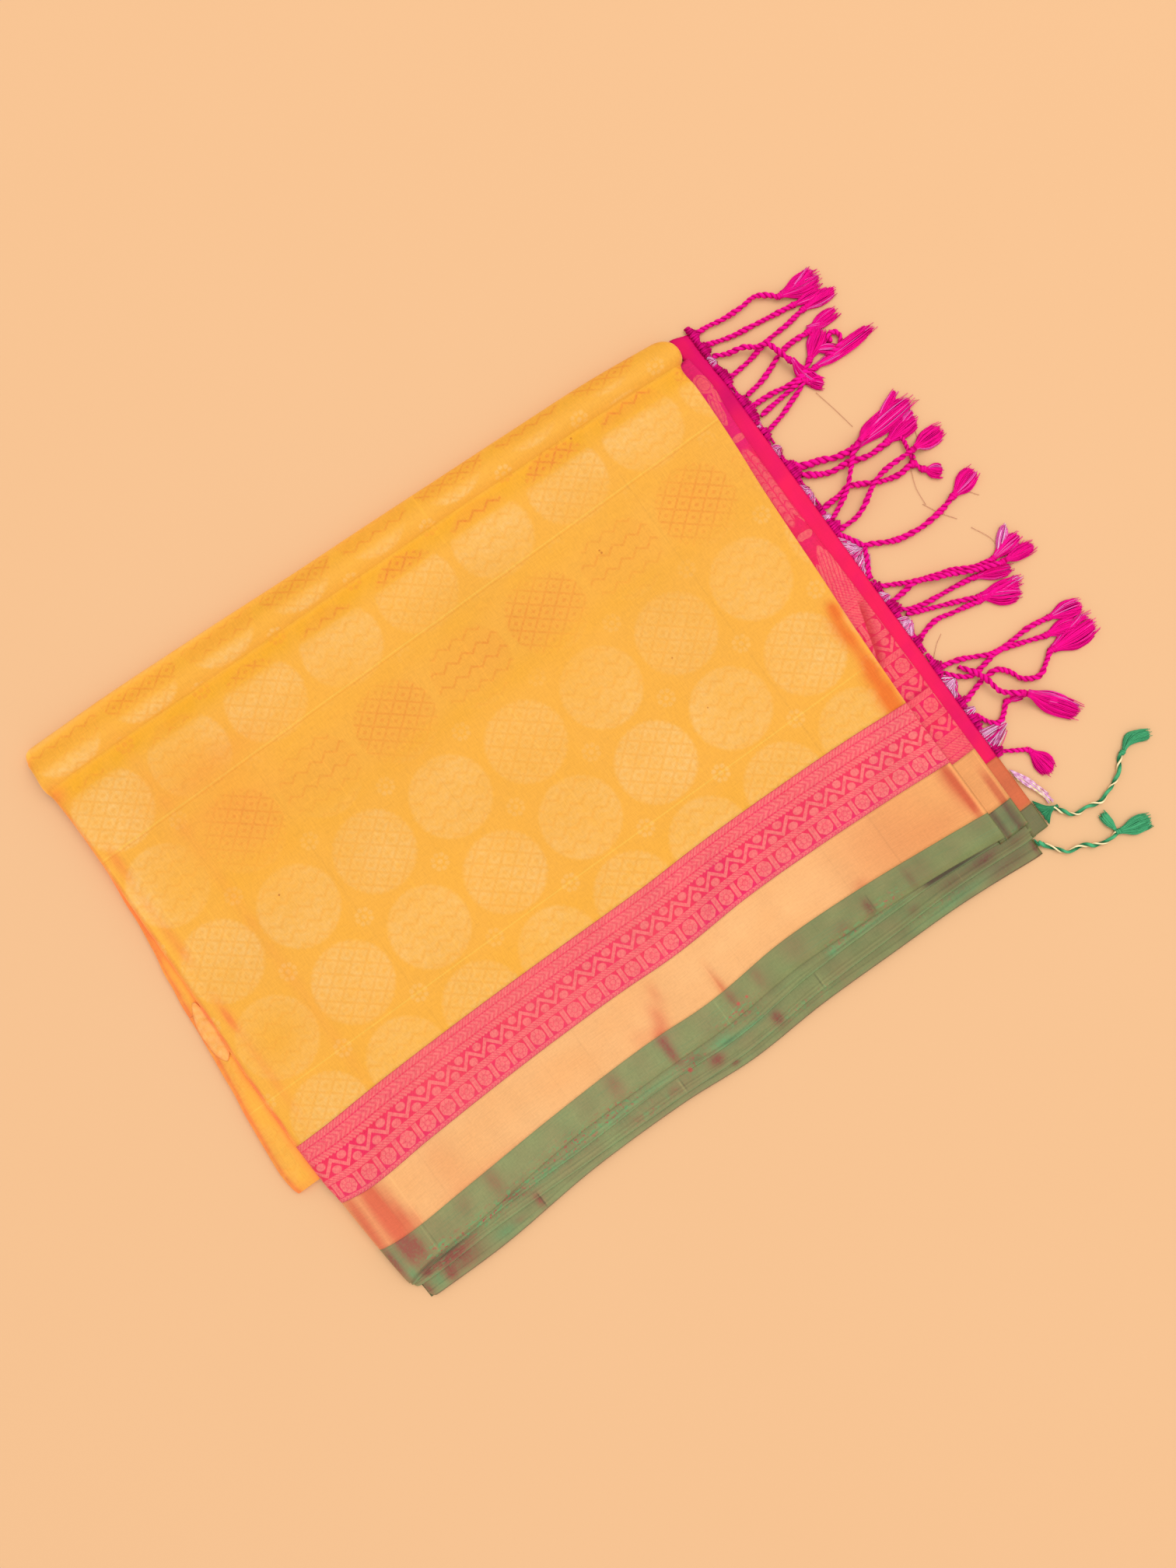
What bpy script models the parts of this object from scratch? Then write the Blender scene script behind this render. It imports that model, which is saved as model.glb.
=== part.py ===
"""A silk saree, folded and lying flat. Metres, +Z up.

The origin is on the flat underside, at the middle of the folded cloth without its fringe.
+X runs along the long folds to the fringed end, +Y runs across to the rolled fold, and the
cloth lies on Z = 0. Places in the tables are in millimetres, and the meshes are made in
metres.
"""

import math
from collections import namedtuple

import bpy
from mathutils import Vector
from mathutils.bvhtree import BVHTree

MM = 0.001

# Cloth and seams
WALL = 1.2
SEAM = 0.3
LAYER_DROP = 2.4
LAYER_INSET = 1.8
REST_GAP = 0.4

# The roll along the long fold
ROLL_RISE = 10.6
ROLL_SIDE_LEVEL = 8.5
ROLL_FOOT_LEVEL = 0.8
ROLL_FOOT_INSET = 1.5
ROLL_FOOT_SHARE = 0.12

# Rounded ends of the folded stretches
LEFT_ROUND = 7.0
LEFT_LEVEL_ON_FOLDS = 8.6
LEFT_LEVEL_ON_FLOOR = 1.7
LEFT_FOLDS_END = -162.0
RIGHT_ROUND = 3.0
RIGHT_DROP = 2.4
ROLL_END_ROUND = 8.0
ROLL_END_LEVEL = 7.8
ROLL_END_FROM = 236.0
ROLL_END_TO = 256.0
EDGE_DROP = 0.7

# The loose end, which lies lower than the layers beside it
PALLU_EXTRA_DROP = 1.8
END_EXTRA_DROP = 2.2
PALLU_START = 329.0
PALLU_END = 362.0
PALLU_TOP = 247.0
PALLU_ZARI = -125.0
PALLU_GOLD = -195.0
PALLU_GREEN = -250.0
PALLU_FOOT = -283.0
HEM_START = 358.0
HEM_END = 376.5
HEM_TOP = 276.0
HEM_GOLD = -212.0
HEM_GREEN = -265.0
HEM_FOOT = -296.0
HEM_ROUND = 4.5
HEM_FOOT_LEVEL = 1.3
LOWEST_RIGHT = 355.0

# Fringe
CORD_HALF = 1.7
CORD_LEVEL = 2.4
CORD_STEPS = 3
KNOT_HALF = 2.9
LOCKS = 3
LOCK_FAN = 9.0
TUFT_HALF_HEIGHT = 1.6
STRIP_START = 377.0
STRIP_WIDTH = 4.0
STRIP_LOW = 0.6
STRIP_HIGH = 4.2

# Lines that run along the cloth: the Y of each where it crosses X
Line = namedtuple("Line", "x roll valley zari gold green edge second third lowest")
LINES = (
    Line(-350, 312.0, 268.0, -125.0, -191.0, -244.0, -277.0, -286.0, -294.0, -313.0),
    Line(-250, 311.0, 267.5, -121.5, -188.5, -245.0, -276.0, -284.0, -294.0, -311.5),
    Line(-150, 307.0, 265.0, -119.0, -185.0, -239.0, -268.0, -279.0, -293.0, -304.0),
    Line(-50, 302.0, 263.0, -119.5, -185.0, -237.0, -266.0, -279.0, -296.0, -303.5),
    Line(30, 299.0, 261.5, -120.0, -187.0, -240.0, -268.0, -282.0, -299.0, -309.0),
    Line(110, 295.5, 260.0, -118.0, -183.5, -233.5, -263.0, -276.0, -294.0, -305.5),
    Line(190, 292.0, 257.0, -118.0, -184.0, -236.0, -263.0, -276.0, -293.0, -306.0),
    Line(270, 288.0, 254.0, -121.0, -188.0, -243.0, -271.0, -282.0, -294.0, -308.5),
    Line(350, 280.0, 249.0, -125.5, -193.5, -251.0, -278.0, -287.0, -297.0, -314.5),
)

# The two ends of the top layer: the X of each where it crosses Y
Side = namedtuple("Side", "y left right")
SIDES = (
    Side(-314, -342.0, 336.5),
    Side(-288, -344.0, 336.5),
    Side(-250, -349.0, 335.0),
    Side(-190, -353.5, 334.0),
    Side(-125, -356.0, 334.0),
    Side(-80, -356.5, 335.0),
    Side(-30, -355.0, 336.5),
    Side(20, -351.0, 339.0),
    Side(120, -349.0, 342.5),
    Side(170, -347.5, 346.5),
    Side(220, -346.0, 349.5),
    Side(245, -348.0, 352.5),
    Side(260, -351.0, 356.5),
    Side(278, -351.0, 353.0),
    Side(312, -350.0, 345.0),
)

# Height of the top layer across the pile
Rise = namedtuple("Rise", "y z")
RISES = (
    Rise(-320, 12.0),
    Rise(-276, 12.9),
    Rise(-240, 14.0),
    Rise(-190, 14.9),
    Rise(-120, 15.7),
    Rise(0, 16.6),
    Rise(100, 17.2),
    Rise(200, 17.6),
    Rise(270, 16.8),
)

# Soft troughs and ridges (negative depth) in the top layer
Trough = namedtuple("Trough", "x y depth width length")
TROUGHS = (
    Trough(-17, -212, 1.6, 14, 40),
    Trough(40, -262, 1.0, 22, 26),
    Trough(-322, -225, 1.3, 9, 60),
    Trough(-338, -215, -0.7, 6, 70),
    Trough(322, -215, 1.1, 8, 60),
    Trough(-230, 60, 0.8, 40, 220),
    Trough(150, 90, 0.8, 60, 200),
    Trough(120, -230, -1.2, 60, 50),
)

# Folded stretches that stand out past the left end: their outer edge
Outer = namedtuple("Outer", "y x")
UPPER_FOLD = (
    Outer(30, -366.0),
    Outer(70, -365.5),
    Outer(90, -362.0),
    Outer(120, -358.5),
    Outer(160, -354.5),
    Outer(200, -352.5),
    Outer(240, -352.0),
    Outer(265, -356.0),
    Outer(285, -355.0),
    Outer(305, -355.5),
)
LOWER_FOLD = (
    Outer(-162, -383.5),
    Outer(-130, -385.5),
    Outer(-110, -384.5),
    Outer(-80, -381.5),
    Outer(-40, -376.0),
    Outer(-10, -372.5),
    Outer(26, -369.0),
)
# Section of a folded stretch, outer edge first: distance in from the edge, and height
Corner = namedtuple("Corner", "inward z")
FOLD_SECTION = (
    Corner(3.0, 0.0),
    Corner(0.9, 0.7),
    Corner(0.3, 1.9),
    Corner(1.5, 2.9),
    Corner(0.0, 3.9),
    Corner(0.7, 5.4),
    Corner(3.0, 6.5),
)
FOLD_TOP_LEVEL = 8.0

# Cords of the fringe: where each leaves the hem, bends, is knotted, and ends in its tassel
Cord = namedtuple("Cord", "root root_half bend_a bend_b knot tip lift")
FRINGE_TOP = (
    Cord(268, 1.7, (410, 263), (445, 264), (468, 251), (503, 249), 0.0),
    Cord(254, 1.7, (405, 247), (440, 242), (470, 236), (504, 233), 0.0),
    Cord(239, 1.7, (408, 230), (427, 219), (436, 196), (447, 164), 5.0),
    Cord(216, 1.7, (410, 217), (440, 223), (474, 226), (517, 224), 0.0),
    Cord(192, 1.7, (412, 197), (438, 205), (466, 207), (506, 212), 0.0),
    Cord(181, 1.7, (408, 181), (430, 181), (451, 185), (482, 196), 0.0),
    Cord(169, 1.7, (410, 171), (440, 173), (474, 175), (521, 177), 0.0),
    Cord(154, 1.7, (402, 157), (417, 161), (428, 161), (441, 149), 0.0),
)
FRINGE_UPPER = (
    Cord(113, 1.7, (405, 104), (430, 99), (450, 100), (509, 104), 0.0),
    Cord(101, 1.7, (397, 93), (425, 87), (462, 84), (501, 84), 0.0),
    Cord(65, 1.7, (410, 67), (438, 56), (475, 47), (493, 30), 0.0),
    Cord(51, 1.7, (400, 61), (418, 76), (432, 87), (456, 95), 5.0),
    Cord(41, 1.7, (404, 41), (428, 50), (474, 61), (517, 63), 4.5),
    Cord(12, 20.0, (398, 13), (438, -3), (483, 1), (518, 8), 0.0),
)
FRINGE_MIDDLE = (
    Cord(-24, 1.7, (402, -34), (440, -48), (478, -62), (519, -56), 0.0),
    Cord(-42, 1.7, (404, -43), (440, -56), (474, -69), (523, -78), 3.6),
    Cord(-53, 1.7, (398, -57), (430, -64), (456, -72), (494, -92), 0.0),
    Cord(-62, 1.7, (400, -68), (430, -77), (449, -86), (485, -103), 0.0),
    Cord(-86, 1.7, (400, -82), (422, -85), (437, -94), (466, -110), 0.0),
)
FRINGE_LOWER = (
    Cord(-119, 1.7, (404, -124), (440, -136), (490, -141), (526, -149), 0.0),
    Cord(-128, 1.7, (400, -138), (436, -146), (481, -156), (513, -161), 0.0),
    Cord(-137, 1.7, (405, -144), (411, -164), (423, -181), (464, -224), 5.0),
    Cord(-158, 1.7, (412, -152), (441, -176), (470, -166), (522, -171), 0.0),
    Cord(-172, 1.7, (388, -186), (399, -192), (409, -187), (426, -192), 0.0),
    Cord(-213, 1.7, (393, -221), (402, -227), (409, -230), (411, -256), 0.0),
)
FRINGE_GREEN = (
    Cord(-281, 8.0, (404, -301), (440, -303), (471, -283), (503, -279), 0.0),
)
FRINGE_GREEN_LOW = (
    Cord(-302, 1.7, (371, -319), (397, -336), (421, -339), (457, -349), 0.0),
)

# Colours: base colour, roughness, metallic
Finish = namedtuple("Finish", "colour roughness metallic")
FINISHES = {
    "yellow_silk": Finish((0.93, 0.43, 0.06), 0.55, 0.0),
    "inner_silk": Finish((0.88, 0.33, 0.05), 0.60, 0.0),
    "zari_border": Finish((0.93, 0.13, 0.17), 0.50, 0.1),
    "gold_border": Finish((0.90, 0.45, 0.18), 0.40, 0.3),
    "green_selvedge": Finish((0.28, 0.28, 0.11), 0.50, 0.0),
    "crimson_silk": Finish((0.93, 0.03, 0.12), 0.50, 0.0),
    "crimson_cord": Finish((0.63, 0.01, 0.14), 0.65, 0.0),
    "green_cord": Finish((0.06, 0.33, 0.14), 0.60, 0.1),
}


def mix(a, b, share):
    return a + (b - a) * share


def ease(low, high, at):
    """0 below low, 1 above high, and smooth between, also where high is the lower one."""
    share = min(max((at - low) / (high - low), 0.0), 1.0)
    return share * share * (3 - 2 * share)


def read(rows, key, column, at):
    """A smooth curve through one column of a table."""
    keys = [getattr(row, key) for row in rows]
    values = [getattr(row, column) for row in rows]
    if at <= keys[0]:
        return values[0]
    if at >= keys[-1]:
        return values[-1]
    slopes = []
    for i in range(len(keys)):
        before = max(i - 1, 0)
        after = min(i + 1, len(keys) - 1)
        slopes.append((values[after] - values[before]) / (keys[after] - keys[before]))
    i = max(k for k in range(len(keys) - 1) if keys[k] <= at)
    span = keys[i + 1] - keys[i]
    t = (at - keys[i]) / span
    return (
        values[i] * (1 + 2 * t) * (1 - t) ** 2
        + values[i + 1] * t * t * (3 - 2 * t)
        + span * slopes[i] * t * (1 - t) ** 2
        - span * slopes[i + 1] * t * t * (1 - t)
    )


def line(name, x):
    return read(LINES, "x", name, x)


def material(name):
    finish = FINISHES[name]
    made = bpy.data.materials.get(name) or bpy.data.materials.new(name)
    made.use_nodes = True
    shader = made.node_tree.nodes["Principled BSDF"]
    shader.inputs["Base Color"].default_value = (*finish.colour, 1.0)
    shader.inputs["Roughness"].default_value = finish.roughness
    shader.inputs["Metallic"].default_value = finish.metallic
    made.diffuse_color = (*finish.colour, 1.0)
    return made


def add_object(name, points, faces, finish, sharp_angle=40.0):
    """One closed, outward mesh in metres, shaded smooth but for its sharp edges."""
    mesh = bpy.data.meshes.new(name)
    mesh.from_pydata([tuple(value * MM for value in point) for point in points], [], faces)
    mesh.materials.append(material(finish))
    mesh.update()
    mesh.shade_smooth()
    mesh.set_sharp_from_angle(angle=math.radians(sharp_angle))
    made = bpy.data.objects.new(name, mesh)
    bpy.context.scene.collection.objects.link(made)
    return made


# Grids of points, and the cloth walls made from them


def grid_normals(grid):
    """The outward normal at each point of a grid whose rows run along +X and follow on down -Y."""
    normals = []
    for j, row in enumerate(grid):
        line_normals = []
        for i in range(len(row)):
            along = row[min(i + 1, len(row) - 1)] - row[max(i - 1, 0)]
            down = grid[min(j + 1, len(grid) - 1)][i] - grid[max(j - 1, 0)][i]
            line_normals.append(down.cross(along).normalized())
        normals.append(line_normals)
    return normals


def seam_row(grid, j, shift):
    """Row j moved along the cloth, down its length where shift is positive."""
    moved = []
    for i, point in enumerate(grid[j]):
        down = grid[min(j + 1, len(grid) - 1)][i] - grid[max(j - 1, 0)][i]
        moved.append(point + down.normalized() * shift)
    return moved


def cloth(name, grid, finish, first=0, last=None, normals=None):
    """A wall of cloth over rows first to last, with half a seam cut off at inner rows."""
    last = len(grid) - 1 if last is None else last
    normals = normals or grid_normals(grid)
    rows = [list(row) for row in grid[first : last + 1]]
    if first > 0:
        rows[0] = seam_row(grid, first, SEAM / 2)
    if last < len(grid) - 1:
        rows[-1] = seam_row(grid, last, -SEAM / 2)
    wide = len(rows[0])
    tall = len(rows)
    points = [point for row in rows for point in row]
    for j, row in enumerate(rows):
        for i, point in enumerate(row):
            points.append(point - normals[first + j][i] * WALL)
    under = wide * tall
    faces = []
    for j in range(tall - 1):
        for i in range(wide - 1):
            a = j * wide + i
            b = a + 1
            c = a + wide + 1
            d = a + wide
            faces.append((a, d, c, b))
            faces.append((a + under, b + under, c + under, d + under))
    rim = [i for i in range(wide)]
    rim += [j * wide + wide - 1 for j in range(1, tall)]
    rim += [(tall - 1) * wide + i for i in range(wide - 2, -1, -1)]
    rim += [j * wide for j in range(tall - 2, 0, -1)]
    for k, a in enumerate(rim):
        b = rim[(k + 1) % len(rim)]
        faces.append((a, b, b + under, a + under))
    return add_object(name, points, faces, finish)


# The top layer


def sheet_height(x, y):
    """Height of the top layer's face, and of its imagined run past its own edge."""
    level = read(RISES, "y", "z", y)
    level += 0.4 * math.sin(x / 61 + y / 140) + 0.3 * math.sin(x / 37 - y / 90)
    for trough in TROUGHS:
        away = ((x - trough.x) / trough.width) ** 2 + ((y - trough.y) / trough.length) ** 2
        level -= trough.depth * math.exp(-away)
    return level


SHEET_LINES = ("valley", "zari", "gold", "green", "edge")


def sheet_across(v, x):
    """Y and Z down the top layer: v is 0 at the roll's foot, 1 in the valley, 5 at the edge."""
    outer = line("roll", x)
    valley = line("valley", x)
    valley_level = sheet_height(x, valley)
    if v < ROLL_FOOT_SHARE:
        share = v / ROLL_FOOT_SHARE
        y = outer - ROLL_FOOT_INSET * (1 - share) ** 2
        return y, mix(ROLL_FOOT_LEVEL, ROLL_SIDE_LEVEL, share)
    if v < 1:
        turn = math.pi * (1 - v) / (1 - ROLL_FOOT_SHARE)
        share = (1 - math.cos(turn)) / 2
        y = mix(valley, outer, share)
        return y, mix(valley_level, ROLL_SIDE_LEVEL, share) + ROLL_RISE * math.sin(turn)
    upper = min(int(v) - 1, len(SHEET_LINES) - 2)
    y = mix(line(SHEET_LINES[upper], x), line(SHEET_LINES[upper + 1], x), v - 1 - upper)
    z = sheet_height(x, y)
    if v > 4:
        z -= EDGE_DROP * ease(4.8, 5.0, v)
    return y, z


def left_level(y):
    """Height that the left end comes down to: on the folds beside it, or near the floor."""
    share = ease(LEFT_FOLDS_END - 8, LEFT_FOLDS_END - 30, y)
    return mix(LEFT_LEVEL_ON_FOLDS, LEFT_LEVEL_ON_FLOOR, share)


# A column of a grid: how far along, and how far round the rounded left or right end (in degrees)
Column = namedtuple("Column", "share left_turn right_turn")


def make_columns(count, left_turns=(0, 30, 60), right_turns=(60, 30, 0)):
    columns = [Column(0.0, turn, 90) for turn in left_turns]
    columns += [Column(i / (count - 1), 90, 90) for i in range(count)]
    columns += [Column(1.0, 90, turn) for turn in right_turns]
    return columns


def sheet_point(column, v):
    mid_y, _ = sheet_across(v, 0.0)
    left = read(SIDES, "y", "left", mid_y)
    right = read(SIDES, "y", "right", mid_y)
    at_roll = ease(ROLL_END_FROM, ROLL_END_TO, mid_y)
    right_round = mix(RIGHT_ROUND, ROLL_END_ROUND, at_roll)
    x = mix(left + LEFT_ROUND, right - right_round, column.share)
    x -= LEFT_ROUND * math.cos(math.radians(column.left_turn))
    x += right_round * math.cos(math.radians(column.right_turn))
    y, z = sheet_across(v, x)
    left_drop = max(z - left_level(y), 0.0)
    right_drop = mix(RIGHT_DROP, max(z - ROLL_END_LEVEL, 0.0), at_roll)
    z -= left_drop * (1 - math.sin(math.radians(column.left_turn)))
    z -= right_drop * (1 - math.sin(math.radians(column.right_turn)))
    return Vector((x, y, z))


def make_top_layer():
    """The yellow body with its roll, and the three woven borders, as one sheet cut at its seams."""
    columns = make_columns(30)
    roll_rows = [0.0, ROLL_FOOT_SHARE]
    roll_rows += [mix(ROLL_FOOT_SHARE, 1.0, k / 10) for k in range(1, 10)]
    body_rows = [1 + k / 11 for k in range(12)]
    zari_rows = [2 + k / 3 for k in range(1, 4)]
    gold_rows = [3 + k / 3 for k in range(1, 4)]
    green_rows = [4.35, 4.7, 4.9, 5.0]
    rows = roll_rows + body_rows + zari_rows + gold_rows + green_rows
    grid = [[sheet_point(column, v) for column in columns] for v in rows]
    normals = grid_normals(grid)
    zari = rows.index(2)
    gold = rows.index(3)
    green = rows.index(4)
    pieces = (
        ("body_top", "yellow_silk", 0, zari),
        ("border_zari_top", "zari_border", zari, gold),
        ("border_gold_top", "gold_border", gold, green),
        ("border_green_top", "green_selvedge", green, len(rows) - 1),
    )
    return [cloth(name, grid, finish, first, last, normals) for name, finish, first, last in pieces]


# The layers below it


def lower_height(layer, x, y):
    """Face of the layer that lies so many layers below the top one."""
    extra = PALLU_EXTRA_DROP * ease(285, PALLU_START, x) + END_EXTRA_DROP * ease(338, 372, x)
    return sheet_height(x, y) - layer * LAYER_DROP - extra


# Down a strip from where it is tucked in: distance from its edge, and drop there
Tuck = namedtuple("Tuck", "inward drop")
TUCKS = (Tuck(17.0, 0.0), Tuck(9.0, 0.0), Tuck(3.0, 0.0), Tuck(0.9, 0.2), Tuck(0.0, EDGE_DROP))


def make_selvedge(name, layer, right, floor_level):
    """A green edge that shows below the layer above, with its left end rounded down."""
    turns = (0, 30, 60)
    columns = make_columns(26, turns, ())
    grid = []
    for tuck in TUCKS:
        row = []
        for column in columns:
            left = read(SIDES, "y", "left", line("edge", -340.0) - 12) + layer * LAYER_INSET
            x = mix(left + LEFT_ROUND, right, column.share)
            x -= LEFT_ROUND * math.cos(math.radians(column.left_turn))
            y = line(name, x) + tuck.inward
            z = lower_height(layer, x, y)
            z -= (z - LEFT_LEVEL_ON_FLOOR) * (1 - math.sin(math.radians(column.left_turn)))
            edge_drop = tuck.drop if floor_level is None else tuck.drop / EDGE_DROP * (z - floor_level)
            z -= edge_drop
            row.append(Vector((x, y, z)))
        grid.append(row)
    return cloth("selvedge_" + name, grid, "green_selvedge")


def make_pallu():
    """The stretch of the loose end that shows past the top layer."""
    stops = [PALLU_TOP, 241, 234, 226, 216, 190, 160, 130, 100, 70, 40, 10, -20, -50, -80, -105]
    stops += [PALLU_ZARI, -148, -172, PALLU_GOLD, -223, PALLU_GREEN, -266, PALLU_FOOT + 2, PALLU_FOOT]
    shares = (0.0, 0.3, 0.6, 0.85, 0.97, 1.0)
    grid = []
    for y in stops:
        row = []
        for share in shares:
            x = mix(PALLU_START, PALLU_END, share)
            z = lower_height(1, x, y)
            at_edge = max(ease(0.9, 1.0, share), ease(PALLU_FOOT + 2, PALLU_FOOT, y))
            z -= EDGE_DROP * at_edge
            z = mix(z, ROLL_END_LEVEL - 2.2, ease(214, 241, y))
            row.append(Vector((x, y, z)))
        grid.append(row)
    normals = grid_normals(grid)
    zari = stops.index(PALLU_ZARI)
    gold = stops.index(PALLU_GOLD)
    green = stops.index(PALLU_GREEN)
    pieces = (
        ("pallu_panel", "zari_border", 0, zari),
        ("pallu_zari", "zari_border", zari, gold),
        ("pallu_gold", "gold_border", gold, green),
        ("pallu_green", "green_selvedge", green, len(stops) - 1),
    )
    return [cloth(name, grid, finish, first, last, normals) for name, finish, first, last in pieces]


def make_hem():
    """The plain strip across the loose end, rounded down to the floor at the fringe."""
    stops = [HEM_TOP, 270, 262, 252, 241, 234, 226, 216, 205, 180, 150, 120, 90, 60, 30, 0, -30, -60, -90]
    stops += [-120, -150, -180, HEM_GOLD, -240, HEM_GREEN, -282, HEM_FOOT + 2, HEM_FOOT]
    turns = (90, 60, 30, 0)
    grid = []
    for y in stops:
        row = []
        start = HEM_START - 3 * ease(245, 262, y)
        for share in (0.0, 0.5):
            x = mix(start, HEM_END - HEM_ROUND, share)
            row.append(Vector((x, y, hem_height(x, y))))
        for turn in turns:
            x = HEM_END - HEM_ROUND + HEM_ROUND * math.cos(math.radians(turn))
            z = hem_height(x, y)
            z -= (z - HEM_FOOT_LEVEL) * (1 - math.sin(math.radians(turn)))
            row.append(Vector((x, y, z)))
        grid.append(row)
    normals = grid_normals(grid)
    gold = stops.index(HEM_GOLD)
    green = stops.index(HEM_GREEN)
    pieces = (
        ("hem_crimson", "crimson_silk", 0, gold),
        ("hem_gold", "gold_border", gold, green),
        ("hem_green", "green_selvedge", green, len(stops) - 1),
    )
    return [cloth(name, grid, finish, first, last, normals) for name, finish, first, last in pieces]


def hem_height(x, y):
    level = lower_height(2, x, y)
    level = mix(level, 3.4, ease(204, 241, y))
    level = mix(level, 2.6, ease(262, HEM_TOP, y))
    return level


# Folded stretches past the left end


def make_left_fold(name, rows, low, high):
    """A bundle of folded cloth with layered edges, flat underneath, tucked below the top layer."""
    count = 17
    points = []
    for k in range(count):
        y = mix(low, high, k / (count - 1))
        outer = read(rows, "y", "x", y)
        left = read(SIDES, "y", "left", y)
        inner = left + LEFT_ROUND + 0.7
        for corner in FOLD_SECTION:
            points.append((outer + corner.inward, y, corner.z))
        top_start = max(left - 1.0, outer + 4.0)
        points.append((top_start, y, FOLD_TOP_LEVEL))
        points.append((inner, y, FOLD_TOP_LEVEL))
        points.append((inner, y, 0.0))
    ring = len(FOLD_SECTION) + 3
    faces = [tuple(reversed(range(ring)))]
    for k in range(count - 1):
        for i in range(ring):
            a = k * ring + i
            b = k * ring + (i + 1) % ring
            faces.append((a, b, b + ring, a + ring))
    faces.append(tuple(range((count - 1) * ring, count * ring)))
    return add_object(name, points, faces, "yellow_silk")


# The hidden layers


def inner_left(y):
    inset = mix(LEFT_ROUND + 1.6, 4.0, ease(LEFT_FOLDS_END - 32, LEFT_FOLDS_END - 62, y))
    return read(SIDES, "y", "left", y) + inset


def inner_right(y):
    under_hem = HEM_END - WALL - 1.6
    under_roll = read(SIDES, "y", "right", y) - 6.0
    right = mix(under_hem, under_roll, ease(HEM_TOP - 14, HEM_TOP, y))
    return mix(right, LOWEST_RIGHT - 3.5, ease(HEM_FOOT + 5, HEM_FOOT - 3, y))


def inner_foot(x):
    low = line("lowest", x) + WALL + 1.6
    return mix(low, HEM_FOOT + WALL + 1.6, ease(LOWEST_RIGHT - 8, LOWEST_RIGHT + 6, x))


def inner_place(u, v):
    """X and Y of the hidden layers' outline grid: u goes left to right, v from the roll down."""
    x = 0.0
    for _ in range(3):
        top = line("roll", x) - ROLL_FOOT_INSET - WALL - 1.6
        y = mix(top, inner_foot(x), v)
        x = mix(inner_left(y), inner_right(y), u)
    return x, y


def underside(tree, x, y):
    """Height of the lowest cloth above a place on the floor, or None."""
    hit, _, _, _ = tree.ray_cast(Vector((x * MM, y * MM, -0.01)), Vector((0, 0, 1)))
    return None if hit is None else hit.z / MM


def make_inner_folds(walls):
    """The hidden layers as one solid: flat underneath, and as high as the cloth on them allows."""
    points = []
    polygons = []
    for wall in walls:
        start = len(points)
        points += [vertex.co.copy() for vertex in wall.data.vertices]
        polygons += [[start + i for i in face.vertices] for face in wall.data.polygons]
    tree = BVHTree.FromPolygons(points, polygons)
    u_stops = [0, 0.006, 0.014, 0.03] + [k / 20 for k in range(1, 20)] + [0.955, 0.966, 0.98, 0.99, 1]
    v_stops = [0, 0.004, 0.009, 0.018, 0.032, 0.05, 0.062, 0.07, 0.08] + [k / 20 for k in range(2, 19)]
    v_stops += [0.915, 0.93, 0.942, 0.953, 0.963, 0.973, 0.983, 0.993, 1]
    wide = len(u_stops)
    tall = len(v_stops)
    fine = 3

    def clear_height(i, j):
        """Lowest cloth over the four cells round a grid point, less the gap it rests with."""
        lowest = None
        for dj in range(-fine, fine + 1):
            for di in range(-fine, fine + 1):
                u = share_between(u_stops, i, di / fine)
                v = share_between(v_stops, j, dj / fine)
                level = underside(tree, *inner_place(u, v))
                if level is not None and (lowest is None or level < lowest):
                    lowest = level
        return lowest - REST_GAP

    top = []
    foot = []
    for j in range(tall):
        for i in range(wide):
            x, y = inner_place(u_stops[i], v_stops[j])
            top.append((x, y, clear_height(i, j)))
            foot.append((x, y, 0.0))
    points = top + foot
    under = wide * tall
    faces = []
    for j in range(tall - 1):
        for i in range(wide - 1):
            a = j * wide + i
            faces.append((a, a + wide, a + wide + 1, a + 1))
    rim = [i for i in range(wide)]
    rim += [j * wide + wide - 1 for j in range(1, tall)]
    rim += [(tall - 1) * wide + i for i in range(wide - 2, -1, -1)]
    rim += [j * wide for j in range(tall - 2, 0, -1)]
    for k, a in enumerate(rim):
        b = rim[(k + 1) % len(rim)]
        faces.append((a, b, b + under, a + under))
    faces.append(tuple(a + under for a in rim))
    points, faces = without_loose(points, faces)
    return add_object("inner_folds", points, faces, "inner_silk")


def share_between(stops, at, step):
    """The value part of the way from one stop towards the next (step > 0) or the one before."""
    other = min(max(at + (1 if step > 0 else -1), 0), len(stops) - 1)
    return mix(stops[at], stops[other], abs(step))


def without_loose(points, faces):
    """The same faces over only the points that they use."""
    used = sorted({i for face in faces for i in face})
    place = {old: new for new, old in enumerate(used)}
    return [points[i] for i in used], [tuple(place[i] for i in face) for face in faces]


# The fringe


def curve_through(stops, steps):
    """Points on a smooth curve through the stops, that many steps to each span."""
    ends = [stops[0] * 2 - stops[1]] + stops + [stops[-1] * 2 - stops[-2]]
    found = []
    for k in range(1, len(ends) - 2):
        before, start, end, after = ends[k - 1 : k + 3]
        for step in range(steps):
            t = step / steps
            found.append(
                0.5
                * (
                    start * 2
                    + (end - before) * t
                    + (before * 2 - start * 5 + end * 4 - after) * t * t
                    + (start * 3 - end * 3 + after - before) * t**3
                )
            )
    found.append(stops[-1])
    return found


def ring_at(centre, heading, half_wide, half_high):
    """Four corners round a cord, seen along its heading: right low, left low, left high, right high."""
    side = Vector((-heading.y, heading.x, 0)).normalized()
    low = max(centre.z - half_high, STRIP_LOW)
    high = low + 2 * half_high
    corners = []
    for sign, z in ((-1, low), (1, low), (1, high), (-1, high)):
        corner = centre + side * half_wide * sign
        corners.append((corner.x, corner.y, z))
    return corners


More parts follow.
